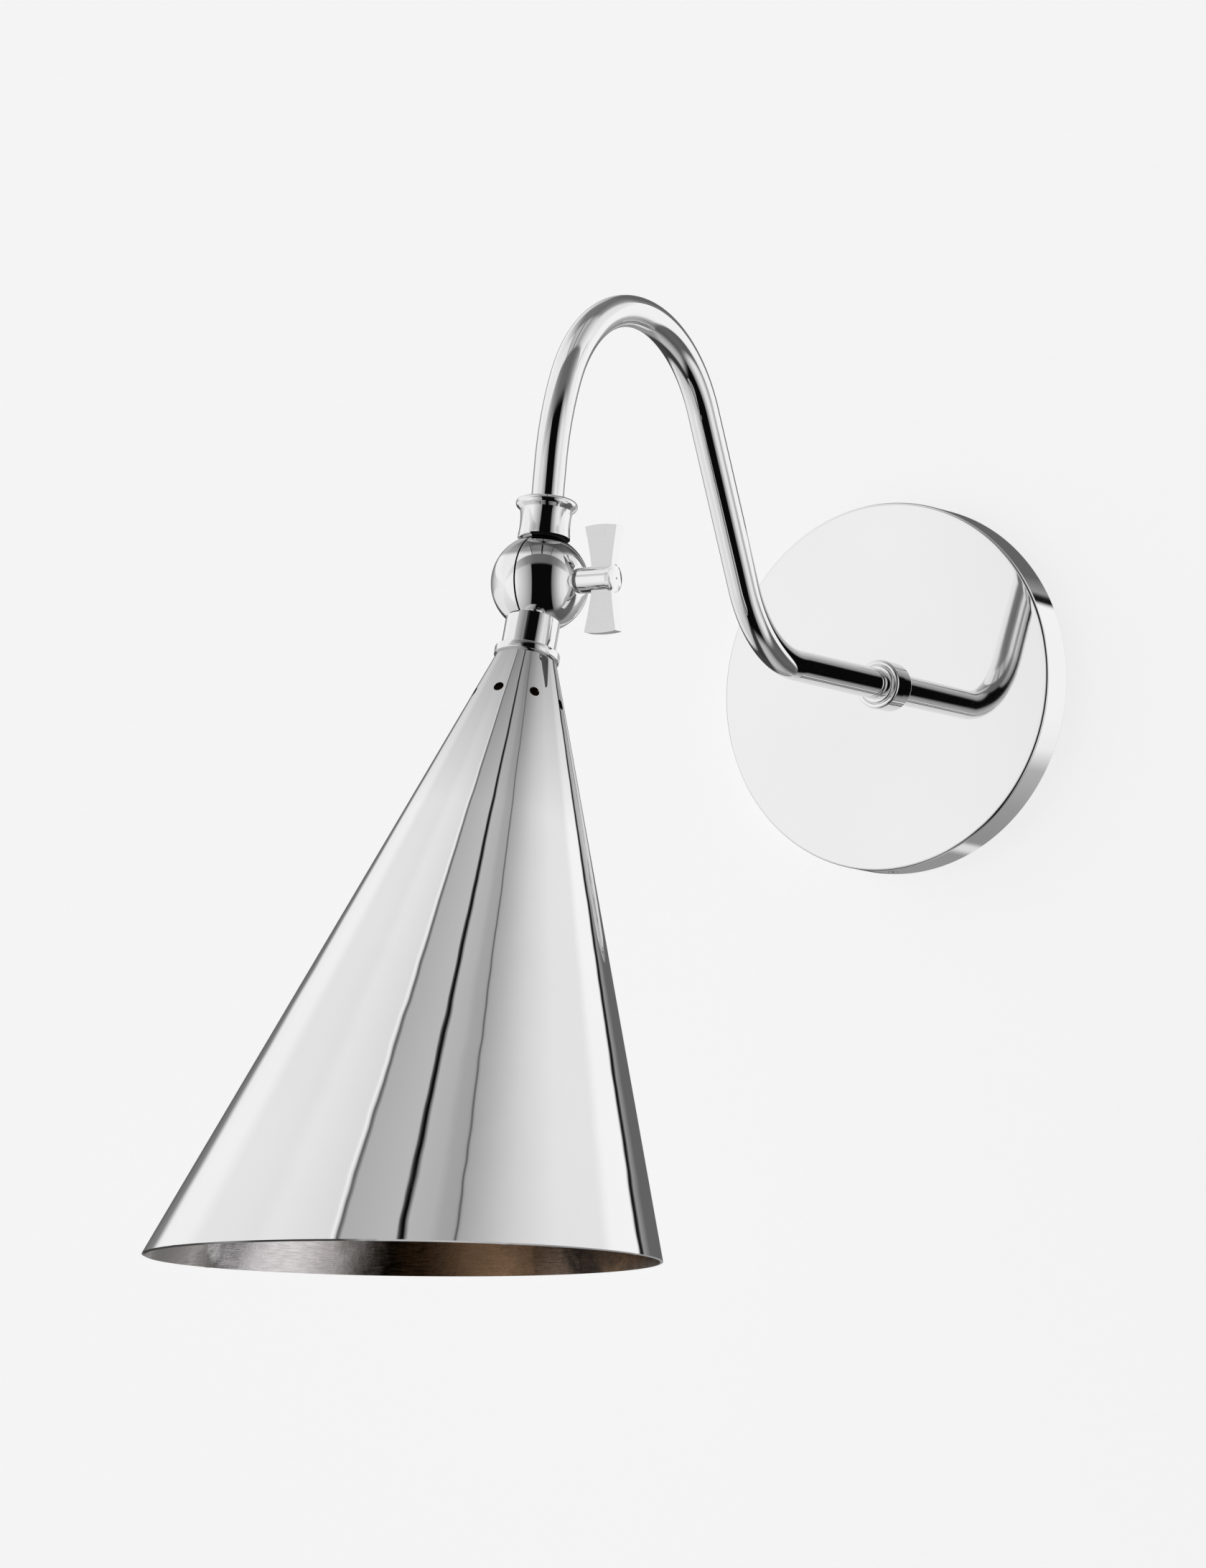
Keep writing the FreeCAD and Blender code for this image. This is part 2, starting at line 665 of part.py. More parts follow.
def make_end_collar():
    """Cup at the end of the arm: a sleeve over the swivel's stub, with a bead round its top."""
    radius = d.collar_dia / 2
    waist = radius - 0.35
    top = d.collar_top
    low = d.collar_low
    bead_up = top - d.bead_dia / 2
    stub = d.stub_dia / 2 + d.thread_play
    bore = d.arm_dia / 2 + 0.05
    sleeve = turned_body("end_collar_sleeve", [
        (stub, low), (radius, low), (radius - 0.1, low + 1.6), (waist, low + 4.2),
        (waist, low + 6.4), (radius - 0.15, low + 8.4), (radius + 0.1, bead_up),
        (radius - 0.2, top - 0.3), (bore, top - 0.3), (bore, d.stub_end + 0.05),
        (stub, d.stub_end + 0.05)])
    bead = doc.addObject("Part::Torus", "end_collar_bead")
    bind(bead, Radius1=d.bead_circle / 2, Radius2=d.bead_dia / 2)
    bead.Placement.Base.z = mm(bead_up)
    relief = half_ball("end_collar_relief", d.ball_dia / 2 + d.collar_relief, 1)
    whole = join("end_collar_whole", sleeve, bead)
    return keep(cut("end_collar_part", whole, relief), "arm_end_collar", collar_place)


# --------------------------------------------------------------------------------- swivel

REACH = 30.0              # longer than any size of the swivel


def half_ball(name, radius, side):
    """The half of a ball on the +X side (side 1) or the -X side (side -1)."""
    low, high = (0.0, REACH) if side == 1 else (-REACH, 0.0)
    return common(name, sphere(name + "_ball", radius),
                  box(name + "_side", (low, -REACH, -REACH), (high, REACH, REACH)))


def make_swivel_half(name, moving):
    """Half of the hollow ball on -X, with a hub on the swivel's axis and a stub up its own Z.

    The other half is the same piece turned over, which brings it to +X with its stub down.
    """
    ball = sphere(name + "_ball", d.ball_dia / 2)
    stub = cylinder(name + "_stub", d.stub_dia / 2, d.stub_end - d.stub_start,
                    (0, 0, d.stub_start))
    seam = box(name + "_seam", (-d.seam_gap / 2, -REACH, -REACH), (REACH, REACH, d.stub_step))
    relief = half_ball(name + "_relief", d.ball_dia / 2 + d.ball_clearance, 1)
    relief.Placement.Base.x = -mm(d.seam_gap) / 2
    outside = cut(name + "_outside", join(name + "_blank", ball, stub), seam, relief)

    cavity = sphere(name + "_cavity", d.ball_cavity / 2)
    hub = cylinder(name + "_hub", d.hub_dia / 2, REACH, (-REACH, 0, 0), (1, 0, 0))
    hollow = cut(name + "_hollow", cavity, hub)
    bore = cylinder(name + "_bore", d.stud_dia / 2 + d.stud_fit, 2 * REACH,
                    (-REACH, 0, 0), (1, 0, 0))
    hub_face = cylinder(name + "_hub_face", d.hub_dia / 2 + 0.01, d.stub_step / 2,
                        (-d.friction_sheet, 0, 0), (1, 0, 0))
    lead_way = cylinder(name + "_lead_way", d.lead_way_dia / 2, d.stub_step,
                        (0, 0, d.stub_start - 1.0))
    thread = cylinder(name + "_thread", d.arm_dia / 2 + d.thread_play, REACH, (0, 0, d.arm_end_short))
    tools = [hollow, bore, lead_way, thread]
    if moving:
        tools.append(box(name + "_seat", (-REACH, -REACH, -d.stub_start),
                         (-d.key_seat, REACH, d.stub_start)))
        tools.append(stop_groove(name))
    else:
        tools.append(hub_face)
        tools.append(cylinder(name + "_pin_hole", d.pin_dia / 2, d.pin_sunk + d.seam_gap,
                              (-d.pin_sunk, 0, -d.pin_circle), (1, 0, 0)))
    return cut(name + "_part", outside, *tools)


def stop_groove(name):
    """Curved groove in the seam face of the moving half, for the stop pin's travel.

    The pin stands straight under the axis of the fixed half, which leans with the arm. The
    groove is as long as the travel of the shade, with the pin's own width at each end.
    """
    pin_at = mm(d.drop_angle) + mm(d.shade_tilt) - 180.0
    first = pin_at - mm(d.tilt_to_wall) - mm(d.groove_allow)
    sweep_angle = d.tilt_to_wall + d.tilt_outward + 2 * d.groove_allow
    deep = d.pin_reach + d.groove_spare
    out = d.groove_width / 2
    outer = cylinder(name + "_groove_outer", d.pin_circle + out, 2 * deep, angle=sweep_angle)
    inner = cylinder(name + "_groove_inner", d.pin_circle - out, 4 * deep, (0, 0, -deep))
    groove = cut(name + "_groove", outer, inner)
    # in the shade's frame the angle runs from +Y to +Z; the blank is drawn turned over
    upright = FreeCAD.Rotation(FreeCAD.Vector(0, 1, 0), FreeCAD.Vector(0, 0, 1),
                               FreeCAD.Vector(1, 0, 0), "XYZ")
    spun = FreeCAD.Rotation(FreeCAD.Vector(1, 0, 0), first)
    turn_over = FreeCAD.Rotation(FreeCAD.Vector(0, 1, 0), 180)
    groove.Placement = FreeCAD.Placement(
        FreeCAD.Vector(mm(deep), 0, 0), turn_over.multiply(spun).multiply(upright))
    return groove


def make_swivel():
    fixed = make_swivel_half("fixed_half", False)
    keep(fixed, "swivel_fixed_half", collar_place)
    moving = make_swivel_half("moving_half", True)
    turned_over = FreeCAD.Placement(
        FreeCAD.Vector(), FreeCAD.Rotation(FreeCAD.Vector(0, 1, 0), 180))
    keep(moving, "swivel_moving_half", shade_place.multiply(turned_over))

    pin = cylinder("stop_pin", d.pin_dia / 2, d.pin_sunk + d.pin_reach)
    pin.Placement = collar_place.multiply(FreeCAD.Placement(
        FreeCAD.Vector(-mm(d.pin_sunk), 0, -mm(d.pin_circle)),
        FreeCAD.Rotation(FreeCAD.Vector(0, 1, 0), 90)))
    keep(pin, "swivel_stop_pin")

    disc = cylinder("friction_disc", d.hub_dia / 2 - 0.1, d.friction_sheet + 0.05,
                    (-d.friction_sheet, 0, 0), (1, 0, 0))
    hole = cylinder("friction_hole", d.stud_dia / 2 + 0.3, 3.0, (-1.5, 0, 0), (1, 0, 0))
    keep(cut("friction_washer_part", disc, hole), "friction_washer", key_place)


def make_neck():
    """Sleeve over the moving half's stub, shaped to sit against the ball."""
    tube = cylinder("neck_tube", d.neck_dia / 2, 13.0, (0, 0, -d.ring_top))
    bore = cylinder("neck_bore", d.stub_dia / 2 + d.thread_play, 2 * REACH, (0, 0, -2 * REACH))
    ball = sphere("neck_ball", d.ball_dia / 2 + 0.02)
    relief = half_ball("neck_relief", d.ball_dia / 2 + d.ball_clearance, -1)
    return keep(cut("neck_part", tube, bore, ball, relief), "shade_neck", shade_place)


# ------------------------------------------------------------------------------ clamp key

def make_key():
    shaft_start = d.key_seat + d.shaft_gap
    shaft_end = d.boss_end - d.boss_cap
    shaft = cylinder("key_shaft_thick", d.shaft_dia / 2, shaft_end - shaft_start,
                     (shaft_start, 0, 0), (1, 0, 0))
    stud = cylinder("key_stud", d.stud_dia / 2, shaft_end + d.stud_far - d.boss_cap,
                    (-d.stud_far, 0, 0), (1, 0, 0))
    keep(join("key_shaft_part", shaft, stud), "key_shaft", key_place)

    half = d.wing_height / 2
    waist = d.waist_height / 2
    wing = padded_body("key_wing_body", [
        (d.wing_near, half), (d.waist_near, waist), (d.waist_near, -waist),
        (d.wing_near, -half), (d.wing_far, -half), (d.waist_far, -waist),
        (d.waist_far, waist), (d.wing_far, half)], d.wing_sheet, both_ways=True)
    boss = cylinder("key_boss", d.boss_dia / 2, d.boss_sheet,
                    (d.boss_end - d.boss_sheet, 0, 0), (1, 0, 0))
    bore = cylinder("key_wing_bore", d.shaft_dia / 2 + 0.01, shaft_end - d.stub_step,
                    (d.stub_step, 0, 0), (1, 0, 0))
    keep(cut("key_wing_part", join("key_wing_blank", wing, boss), bore),
         "key_wing", key_place)

    disc = cylinder("spring_disc", d.shaft_dia / 2 - 0.1, d.spring_sheet,
                    (d.key_seat + 0.1, 0, 0), (1, 0, 0))
    hole = cylinder("spring_hole", d.stud_dia / 2 + d.thread_play, 4.0,
                    (d.key_seat - 1, 0, 0), (1, 0, 0))
    keep(cut("spring_washer_part", disc, hole), "key_spring_washer", key_place)


# ---------------------------------------------------------------------------------- shade

def make_shade_ring():
    bore = d.arm_dia / 2 + 0.02
    radius = d.ring_dia / 2
    top = -d.ring_top
    low = top - d.ring_sheet
    body = turned_body("shade_ring_body", [
        (bore, low), (radius, low), (radius, top), (bore, top)])
    round_edges(body, "shade_ring_round", 0.7,
                lambda edge: is_ring(radius, low)(edge) or is_ring(radius, top)(edge))
    return keep(body, "shade_ring", shade_place)


def make_shade():
    """Spun cone with a flat top, its mouth cut level when the shade hangs at its tilt."""
    slope = tangent(d.shade_half_angle)
    across = d.shade_sheet / cosine(d.shade_half_angle)
    bore = d.arm_dia / 2 + 0.05
    top = -d.ring_top - d.ring_sheet
    under = top - d.shade_sheet
    bottom = -d.shade_mouth - 45.0
    outer_top = (d.shade_apex - top) * slope
    outer_bottom = (d.shade_apex - bottom) * slope
    inner_top = (d.shade_apex - under) * slope - across
    body = turned_body("shade_body", [
        (bore, top), (outer_top, top), (outer_bottom, bottom),
        (outer_bottom - across, bottom), (inner_top, under), (bore, under)])

    mouth = new_sketch(body, "mouth_cut_sketch", role="YZ_Plane")
    reach = 160.0
    lift = reach * tangent(d.shade_tilt)
    draw_outline(mouth, [
        (-reach, -d.shade_mouth - lift), (reach, -d.shade_mouth + lift),
        (reach, -d.shade_mouth - reach), (-reach, -d.shade_mouth - reach)])
    pocket(body, "mouth_cut", mouth, both_ways=True)

    vent_sketch = new_sketch(body, "vent_sketch", turn=mm(d.vent_turn))
    draw_circle(vent_sketch, (0, -d.vent_drop), d.vent_dia / 2)
    first = pocket(body, "vent", vent_sketch, backwards=True)
    before = body.Shape.Volume
    ring = body.newObject("PartDesign::PolarPattern", "vent_ring")
    ring.Originals = [first]
    ring.Axis = (vent_sketch, ["V_Axis"])
    ring.Angle = 360
    ring.Occurrences = VENT_COUNT
    body.Tip = ring
    doc.recompute()
    if body.Shape.Volume > before - 1.0:
        raise RuntimeError("the vent holes were not repeated")
    return keep(body, "shade", shade_place)


def make_shade_fixings():
    """Hollow threaded nipple through ring and shade, and the nut that clamps them."""
    under = d.ring_top + d.ring_sheet + d.shade_sheet
    nipple = turned_body("nipple_body", [
        (d.nipple_bore / 2, -d.nipple_end), (d.arm_dia / 2, -d.nipple_end),
        (d.arm_dia / 2, -d.arm_end_short), (d.nipple_bore / 2, -d.arm_end_short)])
    keep(nipple, "shade_nipple", shade_place)
    bore = d.arm_dia / 2 + 0.02
    nut = padded_body("shade_nut_body", hexagon(d.nut_across), d.shade_nut_thick,
                      role="XY_Plane")
    bore_sketch = new_sketch(nut, "shade_nut_bore_sketch", role="XY_Plane")
    draw_circle(bore_sketch, (0, 0), bore)
    pocket(nut, "shade_nut_bore", bore_sketch, both_ways=True)
    down = FreeCAD.Placement(
        FreeCAD.Vector(0, 0, -mm(under + d.shade_nut_thick)), FreeCAD.Rotation())
    keep(nut, "shade_lock_nut", shade_place.multiply(down))


# ----------------------------------------------------------------------------- lampholder

def make_lampholder():
    bore = d.arm_dia / 2 + 0.02
    radius = d.holder_dia / 2
    cap = turned_body("lampholder_cap_body", [
        (bore, -d.cap_top), (7.6, -d.cap_top), (7.6, -d.cap_top - 4.5),
        (12.2, -d.cap_top - 10.0), (radius - 1.2, -d.cap_end + 5.0),
        (radius + 0.6, -d.cap_end + 5.0),
        (radius + 0.6, -d.cap_end), (radius - 2.4, -d.cap_end),
        (radius - 2.4, -d.cap_end + 3.6), (11.0, -d.cap_top - 12.0),
        (bore, -d.cap_top - 8.0)])
    keep(cap, "lampholder_cap", shade_place)

    inside = radius - d.holder_wall
    floor = -d.cap_end - d.holder_floor
    body = turned_body("lampholder_body_part", [
        (0, -d.cap_end), (radius, -d.cap_end), (radius, -d.holder_end + 3.0),
        (radius + 1.6, -d.holder_end + 3.0), (radius + 1.6, -d.holder_end),
        (inside, -d.holder_end), (inside, floor), (0, floor)])
    lead_holes = new_sketch(body, "terminal_holes_sketch", role="XY_Plane")
    for side in (1, -1):
        draw_circle(lead_holes, (side * d.terminal_out, 0), d.terminal_hole / 2)
    pocket(body, "terminal_holes", lead_holes, both_ways=True)
    keep(body, "lampholder_body", shade_place)

    thread = d.lamp_thread / 2
    shell_top = floor - 3.0
    shell_end = -d.holder_end + 6.0
    shell = turned_body("screw_shell_body", [
        (thread, shell_end), (thread + 0.4, shell_end),
        (thread + 0.4, shell_top), (thread, shell_top)])
    keep(shell, "lampholder_screw_shell", shade_place)

    tongue = turned_body("centre_contact_body", [
        (0, floor), (4.0, floor), (4.0, floor - 0.8), (2.6, floor - 2.0),
        (1.2, floor - 2.6), (0, floor - 2.6)])
    keep(tongue, "lampholder_centre_contact", shade_place)

    screws = []
    for side in (1, -1):
        screw = slotted_screw(
            f"terminal_screw_{side}", thread_radius=as_size(1.5), thread_length=as_size(3.6),
            head_radius=as_size(2.9), head_height=as_size(1.4), slot_width=as_size(0.7))
        screw.Placement = FreeCAD.Placement(
            FreeCAD.Vector(side * mm(d.terminal_out), 0, mm(-d.cap_end)), FreeCAD.Rotation())
        screws.append(screw)
    pair = doc.addObject("Part::Compound", "terminal_screw_pair")
    pair.Links = screws
    keep(pair, "lampholder_terminal_screws", shade_place)


# ---------------------------------------------------------------------------------- leads

def make_arm_leads():
    """Live and neutral: from the swivel through the arm to a connector inside the plate."""
    radius = d.lead_dia / 2
    for label, side in (("lead_live", 1), ("lead_neutral", -1)):
        across = side * mm(d.lead_apart) / 2
        edges, here, along = arm_edges(across)
        end = here + along * mm(d.drop_run - d.lead_stop)
        tail = Part.LineSegment(here, end).toShape()
        bend = mm(d.lead_bend)
        start = edges[0].valueAt(edges[0].FirstParameter)
        turn_at = start + FreeCAD.Vector(0, 0.4, 0)
        centre = turn_at + FreeCAD.Vector(side * bend, 0, 0)
        slant = math.sqrt(0.5) * bend
        middle = centre + FreeCAD.Vector(-side * slant, slant, 0)
        turned = centre + FreeCAD.Vector(0, bend, 0)
        stop = FreeCAD.Vector(side * mm(d.connector_out + d.lead_tail), turned.y, 0)
        path = Part.Wire([
            Part.LineSegment(stop, turned).toShape(),
            Part.Arc(turned, middle, turn_at).toShape(),
            Part.LineSegment(turn_at, start).toShape()] + edges + [tail])
        keep(sweep(label + "_part", path, radius), label)


def make_wire_connectors():
    """Two twist-on connectors on the tails of the leads."""
    connectors = []
    level = -mm(d.connector_level)
    for side in (1, -1):
        start = (side * mm(d.connector_out), level, 0)
        cone = doc.addObject("Part::Cone", f"connector_cone_{side}")
        bind(cone, Radius1=d.connector_wide / 2, Radius2=d.connector_tip / 2,
             Height=d.connector_long)
        cone.Placement = FreeCAD.Placement(
            FreeCAD.Vector(*start),
            FreeCAD.Rotation(FreeCAD.Vector(0, 0, 1), FreeCAD.Vector(side, 0, 0)))
        hole = cylinder(f"connector_hole_{side}", d.connector_wide / 2 - 1.0,
                        d.lead_tail + 1.0, (side * (d.connector_out - 1.0), level, 0),
                        (side, 0, 0))
        connectors.append(cut(f"connector_{side}", cone, hole))
    pair = doc.addObject("Part::Compound", "connector_pair")
    pair.Links = connectors
    keep(pair, "wire_connectors")


def make_ground_lead():
    """Bare copper from the ground screw to the edge of the backing washer."""
    radius = mm(d.ground_lead_dia) / 2
    level = -mm(d.strap_sheet) - 2 * radius
    up = mm(d.ground_screw_up)
    washer_y = mm(d.backing_sheet) - mm(d.plate_depth) + mm(d.plate_wall) + radius
    points = [FreeCAD.Vector(3.0, level, up + 4.4), FreeCAD.Vector(5.2, level, up - 2.0),
              FreeCAD.Vector(7.0, washer_y, up - 8.0), FreeCAD.Vector(11.0, washer_y, 6.0)]
    path = bent_wire(points, 2.2)
    keep(sweep("ground_lead_part", path, radius), "lead_ground")


def make_holder_leads():
    """Leads from the swivel through the nipple to the lampholder's terminals."""
    wires = []
    low = mm(d.cap_end)
    for side in (1, -1):
        across = side * mm(d.lead_apart) / 2
        out = side * (mm(d.terminal_out) - 0.4)
        points = [FreeCAD.Vector(across, 0, -mm(d.lead_stop)),
                  FreeCAD.Vector(across, 0, -mm(d.nipple_end) - 3.0),
                  FreeCAD.Vector(out, 0, 6.0 - low), FreeCAD.Vector(out, 0, 1.5 - low)]
        wires.append(sweep(f"holder_lead_{side}", bent_wire(points, 2.0), d.lead_dia / 2))
    pair = doc.addObject("Part::Compound", "holder_lead_pair")
    pair.Links = wires
    keep(pair, "lampholder_leads", shade_place)


# ------------------------------------------------------------------------ build and export

make_backplate()
make_crossbar()
make_rim_screws()
make_ground_screw()
make_arm_fixings()
make_arm()
make_plate_collar()
make_end_collar()
make_swivel()
make_neck()
make_key()
make_shade_ring()
make_shade()
make_shade_fixings()
make_lampholder()
make_arm_leads()
make_wire_connectors()
make_ground_lead()
make_holder_leads()
doc.recompute()

failed = [f.Name for f in doc.Objects if "Invalid" in f.State or "Error" in f.State]
if failed:
    raise RuntimeError(f"features that failed: {failed}")
for feature in nodes:
    if feature.Shape.isNull() or not feature.Shape.isValid():
        raise RuntimeError(f"{feature.Label} has no valid shape")

os.makedirs("parts", exist_ok=True)
for feature in nodes:
    feature.Shape.exportStep(f"parts/{feature.Label}.step")
    print(f"{feature.Label}: {len(feature.Shape.Solids)} solid(s), "
          f"{feature.Shape.Volume:.1f} mm3")
print("centre of the ball", *(round(v, 4) for v in ball_centre))
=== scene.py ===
import json
import math

import bpy
import bmesh
from mathutils import Matrix, Vector


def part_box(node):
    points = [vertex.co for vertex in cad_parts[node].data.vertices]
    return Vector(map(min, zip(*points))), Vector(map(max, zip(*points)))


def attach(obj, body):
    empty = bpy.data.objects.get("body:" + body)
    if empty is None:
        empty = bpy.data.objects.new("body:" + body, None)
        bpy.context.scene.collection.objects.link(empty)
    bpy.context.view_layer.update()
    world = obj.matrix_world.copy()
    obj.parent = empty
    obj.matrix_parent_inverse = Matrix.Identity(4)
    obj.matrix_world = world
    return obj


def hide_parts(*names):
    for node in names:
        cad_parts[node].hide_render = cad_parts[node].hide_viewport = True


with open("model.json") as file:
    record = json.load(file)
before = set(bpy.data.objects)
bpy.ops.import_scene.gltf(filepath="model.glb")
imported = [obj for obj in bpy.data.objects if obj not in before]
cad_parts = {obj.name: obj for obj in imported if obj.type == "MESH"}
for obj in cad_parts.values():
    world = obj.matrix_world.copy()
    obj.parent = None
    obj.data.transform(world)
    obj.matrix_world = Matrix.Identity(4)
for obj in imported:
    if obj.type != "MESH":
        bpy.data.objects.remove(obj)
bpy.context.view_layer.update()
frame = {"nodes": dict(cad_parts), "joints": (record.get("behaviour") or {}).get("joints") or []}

MM = 0.001

# ------------------------------------------------------------------ places on the lamp

PLATE_FRONT = -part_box("backplate")[0].y
PLATE_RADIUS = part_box("backplate")[1].x
PLATE_WALL = 1.2
THREAD_PLAY = 0.02
TUBE = 5.0
ARM_TAIL = 7.2
ARM_END_SHORT = 15.6
BALL = 15.1
GAP = 0.35
COLLAR_RELIEF = BALL + 1.5
SEAM = 0.3
STUB = 6.6
STUB_START = 9.0
STUB_END = 23.0
SEAM_TOP = 10.0
KEY_SEAT = 14.3
FAR = 40.0
PIVOT = Vector(frame["joints"][0]["pos_m"])
ARM_LEAN = math.radians(-8.0)
SHADE_LEAN = math.radians(-17.0)

ON_WALL = Matrix.Rotation(math.radians(90.0), 4, "X")
ON_ARM_END = Matrix.Translation(PIVOT) @ Matrix.Rotation(ARM_LEAN, 4, "X")
ON_SHADE = Matrix.Translation(PIVOT) @ Matrix.Rotation(SHADE_LEAN, 4, "X")
ON_PIVOT = Matrix.Translation(PIVOT)
# Painted reflections inside the shade are laid along this direction; it is the same as
# VIEW_RIGHT.
PAINTED_REFLECTION_AXIS = Vector((0.8556, 0.5175, 0.0114))
KEY_ALONG_X = Matrix.Translation(PIVOT) @ Matrix.Rotation(math.radians(90.0), 4, "Y")


# ------------------------------------------------------------------ ways of modelling

def start_clean():
    if bpy.context.object and bpy.context.object.mode != "OBJECT":
        bpy.ops.object.mode_set(mode="OBJECT")
    bpy.ops.object.select_all(action="DESELECT")


def active():
    return bpy.context.view_layer.objects.active


def pick(piece):
    start_clean()
    bpy.context.view_layer.objects.active = piece
    piece.select_set(True)


def edit(piece):
    pick(piece)
    bpy.ops.object.mode_set(mode="EDIT")


def done():
    bpy.ops.object.mode_set(mode="OBJECT")


def select_where(piece, kind, wanted):
    """Selects the vertices, edges or faces for which wanted(element) is true."""
    modes = {"verts": "VERT", "edges": "EDGE", "faces": "FACE"}
    bpy.ops.mesh.select_mode(type=modes[kind])
    bpy.ops.mesh.select_all(action="DESELECT")
    shape = bmesh.from_edit_mesh(piece.data)
    for element in getattr(shape, kind):
        element.select_set(bool(wanted(element)))
    shape.select_flush_mode()
    bmesh.update_edit_mesh(piece.data)


def lathe(name, outline, sides=192, closed=True):
    """Turned piece: a circle drawn out ring by ring through (radius, height) in millimetres."""
    start_clean()
    first_radius, first_height = outline[0]
    bpy.ops.mesh.primitive_circle_add(
        vertices=sides, radius=first_radius * MM, location=(0, 0, 0))
    piece = active()
    piece.name = name
    bpy.ops.object.mode_set(mode="EDIT")
    bpy.ops.mesh.select_mode(type="VERT")
    bpy.ops.mesh.select_all(action="SELECT")
    bpy.ops.transform.translate(value=(0, 0, first_height * MM))
    for (radius, height), (next_radius, next_height) in zip(outline, outline[1:]):
        bpy.ops.mesh.extrude_region_move(
            TRANSFORM_OT_translate={"value": (0, 0, (next_height - height) * MM)})
        scale = next_radius / radius
        bpy.ops.transform.resize(value=(scale, scale, 1), center_override=(0, 0, 0))
    if closed:
        bpy.ops.mesh.extrude_region_move(TRANSFORM_OT_translate={
            "value": (0, 0, (first_height - outline[-1][1]) * MM)})
        scale = first_radius / outline[-1][0]
        bpy.ops.transform.resize(value=(scale, scale, 1), center_override=(0, 0, 0))
        bpy.ops.mesh.select_all(action="SELECT")
        bpy.ops.mesh.remove_doubles(threshold=0.0000005)
        bpy.ops.mesh.normals_make_consistent(inside=False)
    done()
    return piece


def soften(piece, rings, size, steps=5):
    """Rounds the circular edges at (radius, height) with a bevel, sizes in millimetres."""
    def on_ring(vertex):
        across = math.hypot(vertex.co.x, vertex.co.y)
        return any(abs(across - r * MM) < 2e-6 and abs(vertex.co.z - h * MM) < 2e-6
                   for r, h in rings)
    edit(piece)
    select_where(piece, "edges", lambda e: all(on_ring(v) for v in e.verts))
    bpy.ops.mesh.bevel(offset=size * MM, segments=steps, profile=0.5, clamp_overlap=True)
    done()


def turned_smooth(piece, angle=25.0):
    pick(piece)
    bpy.ops.object.shade_smooth_by_angle(angle=math.radians(angle))


def flat_faces_stay_flat(piece, angle=25.0):
    """Smooth shading in which the big faces keep their own direction up to the bevels."""
    turned_smooth(piece, angle)
    apply(piece, "WEIGHTED_NORMAL", keep_sharp=True, weight=100)


def put(piece, place):
    """Moves a finished piece to its place, and leaves its object at the origin."""
    pick(piece)
    piece.matrix_world = place
    bpy.context.view_layer.update()
    bpy.ops.object.transform_apply(location=True, rotation=True, scale=True)


def apply(piece, kind, **settings):
    """Adds a modifier and applies it."""
    pick(piece)
    bpy.ops.object.modifier_add(type=kind)
    modifier = piece.modifiers[-1]
    for key, value in settings.items():
        setattr(modifier, key, value)
    bpy.ops.object.modifier_apply(modifier=modifier.name)


def cut_with(piece, tool, operation="DIFFERENCE"):
    apply(piece, "BOOLEAN", object=tool, operation=operation, solver="EXACT")
    bpy.data.objects.remove(tool)


def rod(radius, length, start, axis="Z", sides=48):
    """Plain cylinder used as a cutter or blank: starts at a point, runs along X, Y or Z."""
    start_clean()
    turn = {"X": (0, math.radians(90), 0), "Y": (math.radians(-90), 0, 0), "Z": (0, 0, 0)}[axis]
    step = {"X": Vector((1, 0, 0)), "Y": Vector((0, 1, 0)), "Z": Vector((0, 0, 1))}[axis]
    middle = (Vector(start) + step * length / 2) * MM
    bpy.ops.mesh.primitive_cylinder_add(
        vertices=sides, radius=radius * MM, depth=length * MM, location=middle, rotation=turn)
    blank = active()
    bpy.ops.object.transform_apply(location=True, rotation=True, scale=True)
    return blank


def block(low, high):
    start_clean()
    low, high = Vector(low) * MM, Vector(high) * MM
    bpy.ops.mesh.primitive_cube_add(size=1.0, location=(low + high) / 2, scale=high - low)
    piece = active()
    bpy.ops.object.transform_apply(location=True, rotation=True, scale=True)
    return piece


def ball(radius, segments=192, rings=96):
    """Ball with its poles on the X axis, where the clamp key covers one of them."""
    start_clean()
    bpy.ops.mesh.primitive_uv_sphere_add(
        segments=segments, ring_count=rings, radius=radius * MM,
        rotation=(0, math.radians(90), 0))
    piece = active()
    bpy.ops.object.transform_apply(location=True, rotation=True, scale=True)
    return piece


def two_finishes(piece, first, second, wanted):
    """The first finish all over, then the second on the faces for which wanted(face) is true."""
    piece.data.materials.clear()
    piece.data.materials.append(first)
    piece.data.materials.append(second)
    edit(piece)
    piece.active_material_index = 1
    select_where(piece, "faces", wanted)
    bpy.ops.object.material_slot_assign()
    done()


def finish_piece(piece, name, body, material, replaced=()):
    piece.name = name
    piece.data.name = name
    if material is not None:
        piece.data.materials.clear()
        piece.data.materials.append(material)
    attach(piece, body)
    if replaced:
        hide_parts(*replaced)
    return piece


# ------------------------------------------------------------------ finishes

